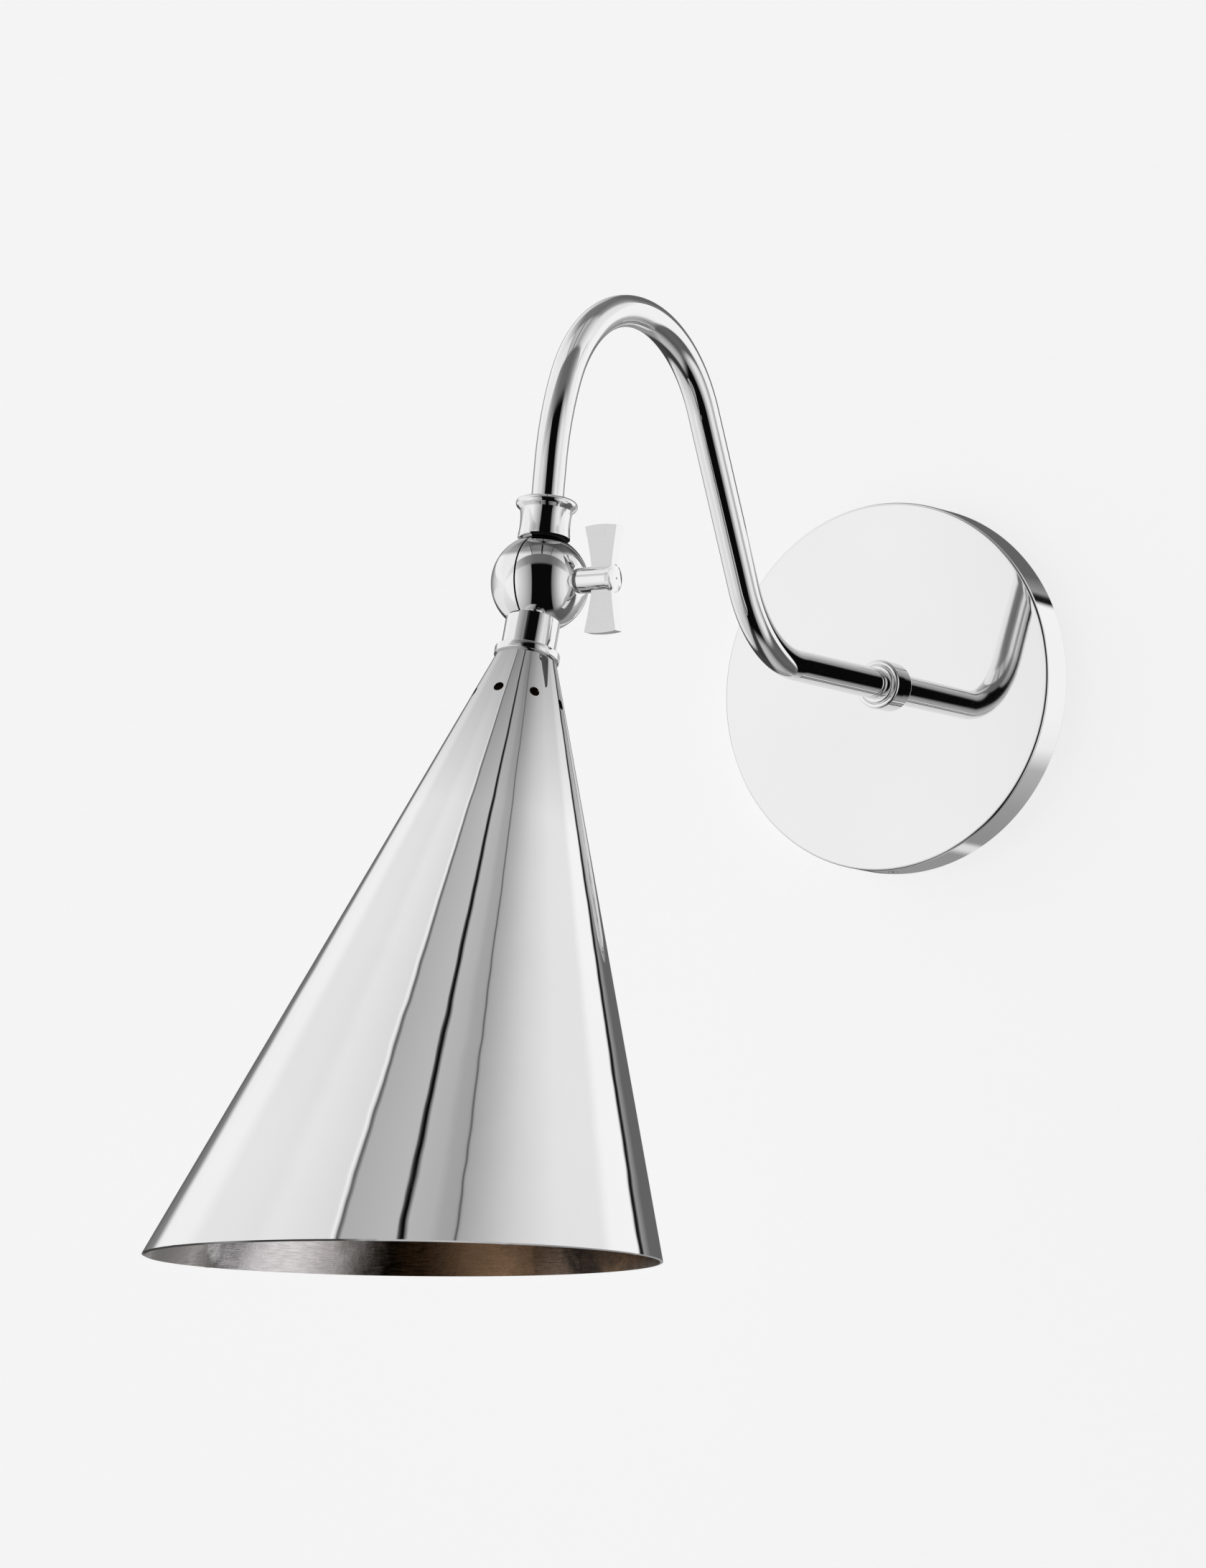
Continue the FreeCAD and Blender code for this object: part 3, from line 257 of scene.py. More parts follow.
class Finish:
    """A material and short ways to add its nodes."""

    def __init__(self, name):
        self.material = bpy.data.materials.new(name)
        self.material.use_nodes = True
        self.nodes = self.material.node_tree.nodes
        self.links = self.material.node_tree.links
        self.shader = self.nodes["Principled BSDF"]
        self.place = self.nodes.new("ShaderNodeTexCoord").outputs["Object"]

    def set(self, **sockets):
        for key, value in sockets.items():
            self.shader.inputs[key.replace("_", " ")].default_value = value
        return self

    def mapped(self, scale=(1, 1, 1), turn=(0, 0, 0), centre=(0, 0, 0)):
        """Coordinates centred on a point, then turned and scaled."""
        shift = self.nodes.new("ShaderNodeVectorMath")
        shift.operation = "SUBTRACT"
        shift.inputs[1].default_value = centre
        self.links.new(self.place, shift.inputs[0])
        mapping = self.nodes.new("ShaderNodeMapping")
        mapping.inputs["Rotation"].default_value = turn
        mapping.inputs["Scale"].default_value = scale
        self.links.new(shift.outputs[0], mapping.inputs["Vector"])
        return mapping.outputs[0]

    def noise(self, where, scale, detail=2.0, rough=0.5):
        node = self.nodes.new("ShaderNodeTexNoise")
        node.inputs["Scale"].default_value = scale
        node.inputs["Detail"].default_value = detail
        node.inputs["Roughness"].default_value = rough
        self.links.new(where, node.inputs["Vector"])
        return node.outputs["Fac"]

    def ramp(self, fac, stops):
        node = self.nodes.new("ShaderNodeValToRGB")
        steps = node.color_ramp.elements
        while len(steps) < len(stops):
            steps.new(0.5)
        for step, (at, colour) in zip(steps, stops):
            step.position = at
            step.color = (*colour, 1.0) if len(colour) == 3 else colour
        self.links.new(fac, node.inputs["Fac"])
        return node.outputs["Color"]

    def span(self, fac, low, high, start=0.0, end=1.0):
        node = self.nodes.new("ShaderNodeMapRange")
        node.inputs["From Min"].default_value = start
        node.inputs["From Max"].default_value = end
        node.inputs["To Min"].default_value = low
        node.inputs["To Max"].default_value = high
        self.links.new(fac, node.inputs["Value"])
        return node.outputs["Result"]

    def along(self, axis, where):
        """How far a point lies along an axis."""
        node = self.nodes.new("ShaderNodeVectorMath")
        node.operation = "DOT_PRODUCT"
        node.inputs[1].default_value = axis
        self.links.new(where, node.inputs[0])
        return node.outputs["Value"]

    def times(self, colour, factor):
        node = self.nodes.new("ShaderNodeVectorMath")
        node.operation = "SCALE"
        self.links.new(colour, node.inputs[0])
        self.links.new(factor, node.inputs["Scale"])
        return node.outputs["Vector"]

    def plus(self, first, second):
        node = self.nodes.new("ShaderNodeMath")
        self.links.new(first, node.inputs[0])
        self.links.new(second, node.inputs[1])
        return node.outputs[0]

    def to(self, socket, output):
        self.links.new(output, self.shader.inputs[socket])
        return self

    def bump(self, height, strength, distance, under=None):
        node = self.nodes.new("ShaderNodeBump")
        node.inputs["Strength"].default_value = strength
        node.inputs["Distance"].default_value = distance
        self.links.new(height, node.inputs["Height"])
        if under is not None:
            self.links.new(under, node.inputs["Normal"])
        self.links.new(node.outputs["Normal"], self.shader.inputs["Normal"])
        return node.outputs["Normal"]


NICKEL = (0.93, 0.925, 0.93)


def polished_nickel(name, ripple=0.0, painted_shade_crown=False):
    """Mirror plate with faint wipe marks, and for spun metal a slight ripple; the spun cone also
    gets painted shade darkening its top, and the crown option paints shade on the top of the
    ball.
    """
    finish = Finish(name)
    finish.set(Metallic=1.0)
    place = finish.mapped()
    haze = finish.noise(place, 60.0, 4.0, 0.6)
    finish.to("Roughness", finish.span(haze, 0.012, 0.045, 0.35, 0.75))
    tint = finish.noise(place, 14.0, 2.0)
    colour = finish.ramp(tint, [(0.3, NICKEL), (0.7, tuple(c * 0.975 for c in NICKEL))])
    if ripple:
        # painted shade: the colour darkens towards the top of the spun cone, near the ring
        down = finish.along((0, 0, 1), finish.mapped(turn=(-SHADE_LEAN, 0, 0), centre=PIVOT))
        colour = finish.times(colour, finish.span(down, 1.0, 0.56, -0.085, -0.026))
    # painted shade: the colour darkens over the top of the ball, next to the collar
    if painted_shade_crown:
        height = finish.along((0, 0, 1), finish.mapped(centre=PIVOT))
        colour = finish.times(colour, finish.span(height, 1.0, 0.42, 0.0074, 0.0086))
    finish.to("Base Color", colour)
    wipe = finish.noise(finish.mapped(scale=(1, 1, 0.25)), 900.0, 3.0, 0.6)
    normal = finish.bump(wipe, 0.35, 0.0000006)
    if ripple:
        wave = finish.noise(
            finish.mapped(turn=(-SHADE_LEAN, 0, 0), centre=PIVOT, scale=(1, 1, 1.3)),
            46.0, 1.0, 0.4)
        finish.bump(wave, 1.0, ripple, normal)
    return finish.material


def satin_nickel(name):
    finish = Finish(name)
    finish.set(Metallic=1.0)
    place = finish.mapped(scale=(1, 1, 0.3))
    grain = finish.noise(place, 5200.0, 3.0, 0.6)
    finish.to("Roughness", finish.span(grain, 0.24, 0.32, 0.3, 0.7))
    finish.to("Base Color", finish.ramp(grain, [
        (0.3, (0.80, 0.79, 0.805)), (0.7, (0.77, 0.765, 0.775))]))
    finish.bump(grain, 0.25, 0.0000006)
    return finish.material


def shade_inside(name):
    """Brushed, lightly hammered inside of the shade, with painted reflections: silver at one
    side, warm and dark beyond.
    """
    finish = Finish(name)
    finish.set(Metallic=1.0)
    turn = (-SHADE_LEAN, 0, 0)
    along = finish.mapped(turn=turn, centre=PIVOT)
    hammered = finish.noise(along, 260.0, 5.0, 0.65)
    brushed = finish.noise(
        finish.mapped(turn=turn, centre=PIVOT, scale=(1, 1, 12)), 240.0, 3.0, 0.6)
    patch = finish.noise(along, 70.0, 4.0, 0.65)
    # painted reflections: bands of silver, dark and warm brown are laid across the mouth
    painted_reflection_side = finish.along(PAINTED_REFLECTION_AXIS, finish.mapped(centre=PIVOT))
    where = finish.plus(finish.span(painted_reflection_side, 0.0, 1.0, -0.111, 0.044),
                        finish.span(patch, -0.045, 0.045, 0.3, 0.7))
    finish.to("Base Color", finish.ramp(where, [
        (0.02, (0.40, 0.38, 0.37)), (0.07, (0.26, 0.25, 0.24)), (0.11, (0.92, 0.88, 0.90)),
        (0.33, (0.80, 0.75, 0.74)), (0.39, (0.45, 0.41, 0.37)), (0.43, (0.09, 0.08, 0.06)),
        (0.48, (0.30, 0.19, 0.11)), (0.62, (0.44, 0.27, 0.16)), (0.70, (0.17, 0.11, 0.07)),
        (0.76, (0.28, 0.20, 0.15)), (0.81, (0.05, 0.04, 0.035)), (0.88, (0.20, 0.13, 0.08)),
        (0.94, (0.04, 0.035, 0.03)), (0.98, (0.55, 0.53, 0.52))]))
    finish.to("Roughness", finish.span(brushed, 0.16, 0.38, 0.3, 0.7))
    low = finish.bump(hammered, 0.6, 0.00012)
    finish.bump(brushed, 0.35, 0.00003, low)
    return finish.material


def plated_steel(name, colour, rough=0.34):
    finish = Finish(name)
    finish.set(Metallic=1.0)
    place = finish.mapped()
    grain = finish.noise(place, 700.0, 4.0, 0.6)
    cloud = finish.noise(place, 90.0, 3.0)
    darker = tuple(c * 0.8 for c in colour)
    finish.to("Base Color", finish.ramp(cloud, [(0.3, colour), (0.7, darker)]))
    finish.to("Roughness", finish.span(grain, rough - 0.08, rough + 0.1, 0.3, 0.7))
    finish.bump(grain, 0.4, 0.00001)
    return finish.material


def bare_metal(name, colour, dull, rough=0.24):
    finish = Finish(name)
    finish.set(Metallic=1.0)
    place = finish.mapped()
    cloud = finish.noise(place, 160.0, 4.0, 0.6)
    finish.to("Base Color", finish.ramp(cloud, [(0.35, colour), (0.72, dull)]))
    finish.to("Roughness", finish.span(cloud, rough - 0.06, rough + 0.14, 0.3, 0.7))
    finish.bump(finish.noise(place, 1500.0, 2.0), 0.3, 0.000006)
    return finish.material


def moulded(name, colour, rough=0.35, grain=0.00002, coat=0.0):
    finish = Finish(name)
    place = finish.mapped()
    speck = finish.noise(place, 1200.0, 3.0, 0.6)
    cloud = finish.noise(place, 70.0, 2.0)
    lighter = tuple(min(1.0, c * 1.18 + 0.004) for c in colour)
    finish.to("Base Color", finish.ramp(cloud, [(0.3, colour), (0.7, lighter)]))
    finish.to("Roughness", finish.span(speck, rough - 0.06, rough + 0.08, 0.3, 0.7))
    finish.bump(speck, 0.3, grain)
    if coat:
        finish.set(Coat_Weight=coat, Coat_Roughness=0.15)
    return finish.material


mirror = polished_nickel("polished_nickel")
# the ball's material has painted shade over its top
ball_mirror_painted_shade = polished_nickel("polished_nickel_ball_painted_shade", painted_shade_crown=True)
# the cone's material has painted shade over its top
cone_mirror_painted_shade = polished_nickel("spun_polished_nickel_painted_shade", ripple=0.00013)
satin = satin_nickel("satin_nickel_faces")
# near-black material that paints shade into the seam and the gaps of the swivel
painted_gap_shade = moulded("painted_shade_in_gaps", (0.006, 0.006, 0.006), 0.6)
inside_metal_painted_reflections = shade_inside("shade_inside_brushed_painted_reflections")
zinc = plated_steel("zinc_plated_steel", (0.60, 0.61, 0.63))
ground_green = moulded("green_ground_screw", (0.03, 0.24, 0.08), 0.3, coat=0.4)
fibre = moulded("red_fibre", (0.22, 0.06, 0.035), 0.7, 0.00005)
black_lead = moulded("black_insulation", (0.018, 0.018, 0.019), 0.42)
white_lead = moulded("white_insulation", (0.72, 0.71, 0.68), 0.42)
copper = bare_metal("bare_copper", (0.78, 0.38, 0.22), (0.5, 0.22, 0.12))
orange = moulded("orange_connectors", (0.75, 0.19, 0.03), 0.38)
brass = bare_metal("plain_brass", (0.83, 0.61, 0.28), (0.55, 0.38, 0.15))
phenolic = moulded("black_phenolic", (0.016, 0.015, 0.014), 0.25, coat=0.5)


# ------------------------------------------------------------------ cover plate and collar

def model_cover_plate():
    front = PLATE_FRONT / MM
    radius = PLATE_RADIUS / MM
    hole, edge, crown = 5.2, 0.9, 0.8
    screw_hole, screw_height = 1.7, 6.4
    face = [(r, front + crown * (1 - (r / radius) ** 2))
            for r in (hole, 8, 12, 16, 20, 24, 28, 32, 36, 40, 44, 48, 52, 55, 58)]
    plate = lathe("cover_plate", face + [
        (radius, front), (radius, 0.0), (radius - PLATE_WALL, 0.0),
        (radius - PLATE_WALL, front - PLATE_WALL), (hole, front - PLATE_WALL)], sides=256)
    soften(plate, [(radius, front)], edge, 8)
    soften(plate, [(radius, 0.0), (radius - PLATE_WALL, 0.0)], 0.25, 3)
    put(plate, ON_WALL)
    through = 1.1 * radius
    cut_with(plate, rod(screw_hole, 2 * through, (0, -screw_height, -through), "Z", 32))
    flat_faces_stay_flat(plate, 30)
    return finish_piece(plate, "cover_plate", "arm", mirror, ["backplate"])


def model_plate_collar():
    front = PLATE_FRONT / MM
    bore, radius, bead = TUBE + THREAD_PLAY, 8.0, 6.2
    shoulder, groove, top = front + 5.6, front + 4.9, front + 6.2
    collar = lathe("plate_collar_ring", [
        (bore, front), (radius, front), (radius, shoulder), (6.75, shoulder),
        (bead, groove), (bead, top), (bore, top)], sides=160)
    soften(collar, [(radius, shoulder)], 0.85, 6)
    soften(collar, [(bead, top)], 0.6, 5)
    put(collar, ON_WALL)
    flat_faces_stay_flat(collar, 30)
    return finish_piece(collar, "plate_collar_ring", "arm", mirror,
                        ["plate_collar"])


# ------------------------------------------------------------------ arm

def ring_centre(piece):
    shape = bmesh.from_edit_mesh(piece.data)
    chosen = [v.co for v in shape.verts if v.select]
    return sum(chosen, Vector()) / len(chosen)


def model_arm():
    """Tube drawn along its bends: straight runs are extruded and bends are spun."""
    front = PLATE_FRONT / MM
    start_clean()
    bpy.ops.mesh.primitive_circle_add(
        vertices=72, radius=TUBE * MM, location=(0, -(front - ARM_TAIL) * MM, 0),
        rotation=(math.radians(90), 0, 0))
    arm = active()
    bpy.ops.object.transform_apply(location=True, rotation=True, scale=True)
    bpy.ops.object.mode_set(mode="EDIT")
    bpy.ops.mesh.select_mode(type="VERT")
    bpy.ops.mesh.select_all(action="SELECT")
    heading = 0.0

    def run(length):
        step = Vector((0, -math.cos(heading), math.sin(heading))) * length * MM
        bpy.ops.mesh.extrude_region_move(TRANSFORM_OT_translate={"value": step})

    def bend(radius, new_heading, steps):
        nonlocal heading
        side = 1 if new_heading > heading else -1
        here = ring_centre(arm)
        towards = Vector((0, math.sin(heading), math.cos(heading))) * side
        centre = here + towards * radius * MM
        bpy.ops.mesh.spin(steps=steps, angle=abs(new_heading - heading), center=centre,
                          axis=(side, 0, 0), dupli=False)
        heading = new_heading

    run(ARM_TAIL + 57.5)
    bend(radius=38.0, new_heading=math.radians(63.5), steps=40)
    run(59.0)
    bend(radius=46.4, new_heading=math.radians(-65.0), steps=80)
    bend(radius=100.0, new_heading=math.radians(-82.0), steps=20)
    run(37.9 - ARM_END_SHORT)
    tip = ring_centre(arm)
    away = (tip - PIVOT).length / MM
    if abs(away - ARM_END_SHORT) > 0.05:
        raise RuntimeError(f"the arm ends {away:.2f} mm from the pivot")
    bpy.ops.mesh.select_all(action="SELECT")
    bpy.ops.mesh.normals_make_consistent(inside=False)
    done()
    turned_smooth(arm, 40)
    apply(arm, "SOLIDIFY", thickness=1.0 * MM, offset=-1.0)
    turned_smooth(arm, 40)
    return finish_piece(arm, "bent_arm", "arm", mirror, ["arm_tube"])


def model_end_collar():
    """Cup with a slight waist; its right half is cut higher, to clear the moving ball."""
    low, top = 13.9, 26.4
    radius, bead = 8.1, 1.4
    bead_ring = 8.15
    middle = top - bead
    bore, lip = TUBE + 0.05, top - 0.35
    waisted = [(-0.25, 0.0), (0.0, 0.25), (-0.1, 1.6), (-0.28, 3.0), (-0.35, 4.4), (-0.35, 6.2),
               (-0.28, 7.4), (-0.15, 8.4), (0.05, 9.2)]
    outline = [(STUB + THREAD_PLAY, low)]
    outline += [(radius + out, low + up) for out, up in waisted]
    outline += [(bead_ring + bead * math.cos(math.radians(a)),
                 middle + bead * math.sin(math.radians(a))) for a in range(-60, 111, 10)]
    outline += [(7.3, lip), (bore, lip), (bore, STUB_END + 0.05),
                (STUB + THREAD_PLAY, STUB_END + 0.05)]
    collar = lathe("arm_collar", outline, sides=160)
    cut_with(collar, half_of(ball(COLLAR_RELIEF), 1))
    # painted shade: the hollow that clears the moving ball gets a near-black material
    paint_shade_in_relief(collar, COLLAR_RELIEF)
    put(collar, ON_ARM_END)
    turned_smooth(collar, 30)
    return finish_piece(collar, "arm_collar", "arm", None,
                        ["arm_end_collar"])


# ------------------------------------------------------------------ swivel

def half_of(piece, side):
    """Cuts away all of a piece that is not on one side of the seam."""
    low, high = (0.0, FAR) if side > 0 else (-FAR, 0.0)
    cut_with(piece, block((low, -FAR, -FAR), (high, FAR, FAR)), "INTERSECT")
    return piece


def swivel_half(name, side, stub_up, place, body, replaced):
    """Half ball with a stub, and a relief that clears the other half's ball."""
    shell = ball(BALL)
    stub_low = STUB_START if stub_up else -STUB_END
    stub = rod(STUB, STUB_END - STUB_START, (0, 0, stub_low), "Z", 96)
    cut_with(shell, stub, "UNION")
    # the seam side loses its ball up to the stub, and the stub is hollowed over the other half
    if side < 0:
        seam = block((-SEAM, -FAR, -FAR), (FAR, FAR, SEAM_TOP))
    else:
        seam = block((-FAR, -FAR, -SEAM_TOP), (SEAM, FAR, FAR))
    cut_with(shell, seam)
    relief = half_of(ball(BALL + GAP, 96, 48), -side)
    relief.location.x = side * SEAM * MM
    pick(relief)
    bpy.ops.object.transform_apply(location=True, rotation=True, scale=True)
    cut_with(shell, relief)
    if side > 0:
        cut_with(shell, block((KEY_SEAT, -FAR, -STUB_START), (FAR, FAR, STUB_START)))
    cut_with(shell, rod(2.55, 60.0, (-30.0, 0, 0), "X", 48))
    # painted shade: the faces in the seam and in the gap round the other half get a near-black
    # material
    two_finishes(shell, ball_mirror_painted_shade, painted_gap_shade, lambda f: in_the_gap(f, side))
    put(shell, place)
    turned_smooth(shell, 30)
    return finish_piece(shell, name, body, None, [replaced])


def in_the_gap(face, side):
    """True for the faces that look into the seam or into the gap round the other half."""
    middle = face.calc_center_median() / MM
    outward = face.normal.dot(middle.normalized())
    skin = outward > 0.9 and abs(middle.length - BALL) < 0.2 and middle.x * side > 0.2
    flat = abs(face.normal.x) > 0.9 and side * middle.x > KEY_SEAT - 0.3
    stub = middle.length > BALL + 1.0 and abs(face.normal.z) < 0.5 and middle.x * side > 0
    return not (skin or flat or stub)


def paint_shade_in_relief(piece, radius):
    """Paints shade on the hollow that clears the moving half of the ball, as a near-black
    material.
    """
    def in_the_hollow(face):
        middle = face.calc_center_median() / MM
        inward = face.normal.dot(middle.normalized()) < -0.8
        return inward and abs(middle.length - radius) < 0.3
    two_finishes(piece, mirror, painted_gap_shade, in_the_hollow)


def model_neck():
    bore, radius, top = STUB + THREAD_PLAY, 8.4, -8.0
    neck = lathe("shade_neck_sleeve", [
        (bore, top), (radius, top), (radius, -STUB_END), (bore, -STUB_END)], sides=160)
    cut_with(neck, ball(BALL + 0.02))
    cut_with(neck, half_of(ball(BALL + GAP), -1))
    put(neck, ON_SHADE)
    turned_smooth(neck, 30)
    return finish_piece(neck, "shade_neck_sleeve", "shade", mirror,
                        ["shade_neck"])


# ------------------------------------------------------------------ clamp key

def model_key():
    pole, stud, stem = 0.4, 2.5, 4.0
    stud_end, stem_start, stem_end = -11.0, 14.9, 26.5
    shaft = lathe("key_stem", [
        (pole, stud_end), (stud - 0.4, stud_end), (stud, stud_end + 0.4), (stud, stem_start),
        (stem - 0.25, stem_start), (stem, stem_start + 0.25), (stem, stem_end - 0.3),
        (stem - 0.3, stem_end), (pole, stem_end)], sides=96)
    put(shaft, KEY_ALONG_X)
    turned_smooth(shaft, 30)
    finish_piece(shaft, "key_stem", "key", mirror, ["key_shaft"])

    waist_near, waist_far, end_near, end_far = 19.6, 26.8, 17.2, 28.4
    half, end, sheet = 4.3, 16.8, 2.0
    wing = block((waist_near, -sheet, -half), (waist_far, sheet, half))
    rows = 10
    rounded = ((0.22, 0.8), (0.15, 0.72), (0.1, 0.6), (0.04, 0.4))
    reach = end - half - sum(rise for rise, _ in rounded)

    def sides(part):
        spread = part ** 1.25
        return (waist_near + (end_near - waist_near) * spread,
                waist_far + (end_far - waist_far) * spread)

    edit(wing)
    for up in (1, -1):
        select_where(wing, "faces",
                     lambda f: f.normal.z * up > 0.9 and f.calc_center_median().z * up > 0)
        for row in range(1, rows + 1):
            near, far = sides((row - 1) / rows)
            next_near, next_far = sides(row / rows)
            shift = (next_near + next_far - near - far) / 2
            bpy.ops.mesh.extrude_region_move(TRANSFORM_OT_translate={
                "value": (shift * MM, 0, up * reach / rows * MM)})
            bpy.ops.transform.resize(
                value=((next_far - next_near) / (far - near), 1, 1),
                center_override=((next_near + next_far) / 2 * MM, 0, 0))
        for rise, scale in rounded:
            bpy.ops.mesh.extrude_region_move(TRANSFORM_OT_translate={
                "value": (0, 0, up * rise * MM)})
            bpy.ops.transform.resize(value=(scale, 1, 1), center_override=(
                (end_near + end_far) / 2 * MM, 0, 0))
    bpy.ops.mesh.select_all(action="SELECT")
    bpy.ops.mesh.normals_make_consistent(inside=False)
    done()
    apply(wing, "BEVEL", width=0.28 * MM, segments=4, limit_method="ANGLE",
          angle_limit=math.radians(50))
    boss = lathe("boss", [(pole, 25.6), (4.3, 25.6), (4.4, 25.7), (4.4, 26.8), (3.4, 27.3),
                          (pole, 27.45)], sides=96)
    pick(boss)
    boss.matrix_world = Matrix.Rotation(math.radians(90.0), 4, "Y")
    bpy.ops.object.transform_apply(location=True, rotation=True, scale=True)
    cut_with(wing, boss, "UNION")
    cut_with(wing, rod(stem + 0.01, 16.6, (10.0, 0, 0), "X", 96))
    two_finishes(wing, satin, mirror, lambda f: abs(f.normal.y) < 0.95)
    put(wing, ON_PIVOT)
    flat_faces_stay_flat(wing, 30)
    finish_piece(wing, "key_wings", "key", None, ["key_wing"])


# ------------------------------------------------------------------ shade

APEX = 1.9
SLOPE = math.tan(math.radians(18.8))
SHADE_TOP = -25.4
SHEET = 0.9
VENT_COUNT = 8


def model_shade_ring():
    bore, radius = TUBE + THREAD_PLAY, 10.1
    ring = lathe("ring_under_neck", [
        (bore, SHADE_TOP), (radius, SHADE_TOP), (radius, -STUB_END), (bore, -STUB_END)],
        sides=160)
    soften(ring, [(radius, SHADE_TOP), (radius, -STUB_END)], 0.75, 6)
    put(ring, ON_SHADE)
    flat_faces_stay_flat(ring, 30)
    return finish_piece(ring, "ring_under_neck", "shade", mirror,
                        ["shade_ring"])


def model_shade():
    """Spun cone: the outer skin is drawn out ring by ring, cut level, then given its sheet."""
    def across(height):
        return (APEX - height) * SLOPE

    mouth, vent_height, below_vents = -221.9, -40.8, -42.6
    row_height, row_count = 7.8, 30
    rows = [SHADE_TOP, -27.0, -30.0, -34.0, -37.6, below_vents]
    rows += [below_vents - row_height * i for i in range(1, row_count)]
    outline = [(TUBE + 0.05, SHADE_TOP)] + [(across(h), h) for h in rows]
    shade = lathe("spun_shade", outline, sides=288, closed=False)
    edit(shade)
    level = Vector((0, -math.sin(-SHADE_LEAN), math.cos(SHADE_LEAN)))
    bpy.ops.mesh.select_all(action="SELECT")
    bpy.ops.mesh.bisect(plane_co=(0, 0, mouth * MM), plane_no=level,
                        clear_inner=True, clear_outer=False, use_fill=False)
    bpy.ops.mesh.select_all(action="SELECT")
    bpy.ops.mesh.normals_make_consistent(inside=False)
    done()
    shade.data.materials.append(cone_mirror_painted_shade)
    shade.data.materials.append(inside_metal_painted_reflections)
    turned_smooth(shade, 40)
    apply(shade, "SOLIDIFY", thickness=SHEET * MM, offset=-1.0, use_even_offset=True,
          material_offset=1, material_offset_rim=0)
    vents = None
    for index in range(VENT_COUNT):
        turn = Matrix.Rotation(math.radians(6.0 + 360.0 / VENT_COUNT * index), 4, "Z")
        drill = rod(1.6, 12.0, (8.0, 0, vent_height), "X", 40)
        pick(drill)
        drill.matrix_world = turn
        bpy.ops.object.transform_apply(location=True, rotation=True, scale=True)
        if vents is None:
            vents = drill
        else:
            pick(vents)
            drill.select_set(True)
            bpy.ops.object.join()
    cut_with(shade, vents)
    put(shade, ON_SHADE)
    turned_smooth(shade, 30)
    return finish_piece(shade, "spun_shade", "shade", None, ["shade"])


# ------------------------------------------------------------------ lampholder

def model_screw_shell():
    """Rolled E26 thread: one turn of the wave is drawn, then wound with the Screw modifier."""
    pitch, middle_radius, wave, sheet = 3.629, 13.45, 0.18, 0.3
    start, low_end, high_end, turns, steps = -99.0, -97.0, -71.0, 7, 14
    start_clean()
    bpy.ops.mesh.primitive_circle_add(vertices=3, radius=1 * MM, location=(0, 0, 0))
    shell = active()
    bpy.ops.object.mode_set(mode="EDIT")
    bpy.ops.mesh.select_all(action="SELECT")
    bpy.ops.mesh.delete(type="VERT")
    done()
    points = [((middle_radius + wave * math.cos(2 * math.pi * i / steps)) * MM, 0,
               (start + pitch * i / steps) * MM) for i in range(steps + 1)]
    shell.data.from_pydata(points, [(i, i + 1) for i in range(steps)], [])
    apply(shell, "SCREW", axis="Z", angle=math.radians(360), screw_offset=pitch * MM,
          iterations=turns, steps=64, render_steps=64, use_merge_vertices=True,
          merge_threshold=1e-6)
    edit(shell)
    bpy.ops.mesh.select_all(action="SELECT")
    bpy.ops.mesh.remove_doubles(threshold=0.000002)
    bpy.ops.mesh.bisect(plane_co=(0, 0, low_end * MM), plane_no=(0, 0, 1), clear_inner=True)
    bpy.ops.mesh.select_all(action="SELECT")
    bpy.ops.mesh.bisect(plane_co=(0, 0, high_end * MM), plane_no=(0, 0, 1), clear_outer=True)
    bpy.ops.mesh.select_all(action="SELECT")
    bpy.ops.mesh.normals_make_consistent(inside=False)
    done()
    apply(shell, "SOLIDIFY", thickness=sheet * MM, offset=0.0)
    put(shell, ON_SHADE)
    turned_smooth(shell, 60)
    return finish_piece(shell, "threaded_shell", "shade", brass,
                        ["lampholder_screw_shell"])


model_cover_plate()
model_plate_collar()
model_arm()
model_end_collar()
swivel_half("ball_half_on_arm", -1, True, ON_ARM_END, "arm", "swivel_fixed_half")
swivel_half("ball_half_on_shade", 1, False, ON_SHADE, "shade", "swivel_moving_half")
model_neck()
model_key()
model_shade_ring()
model_shade()
model_screw_shell()

# ------------------------------------------------------------------ carried-over CAD nodes

CAD_FINISHES = {
    "crossbar": zinc, "rim_screws": zinc, "ground_screw": ground_green,
    "arm_backing_washer": zinc, "arm_toothed_washer": zinc, "arm_lock_nut": brass,
    "swivel_stop_pin": zinc, "friction_washer": fibre, "key_spring_washer": zinc,
    "lead_live": black_lead, "lead_neutral": white_lead, "lead_ground": copper,
    "wire_connectors": orange, "shade_nipple": brass, "shade_lock_nut": brass,
    "lampholder_cap": phenolic, "lampholder_body": phenolic,
    "lampholder_centre_contact": brass, "lampholder_terminal_screws": brass,
    "lampholder_leads": black_lead,
}
for node, material in CAD_FINISHES.items():
    carried = frame["nodes"][node]
    if not carried.data.materials:
        carried.data.materials.append(material)
    for slot in carried.material_slots:
        slot.material = material

# ------------------------------------------------------------------ studio

VIEW_RIGHT = Vector((0.8556, 0.5175, 0.0114))
VIEW_UP = Vector((0.0508, -0.1060, 0.9931))
VIEW_BACK = Vector((0.5151, -0.8491, -0.1170))


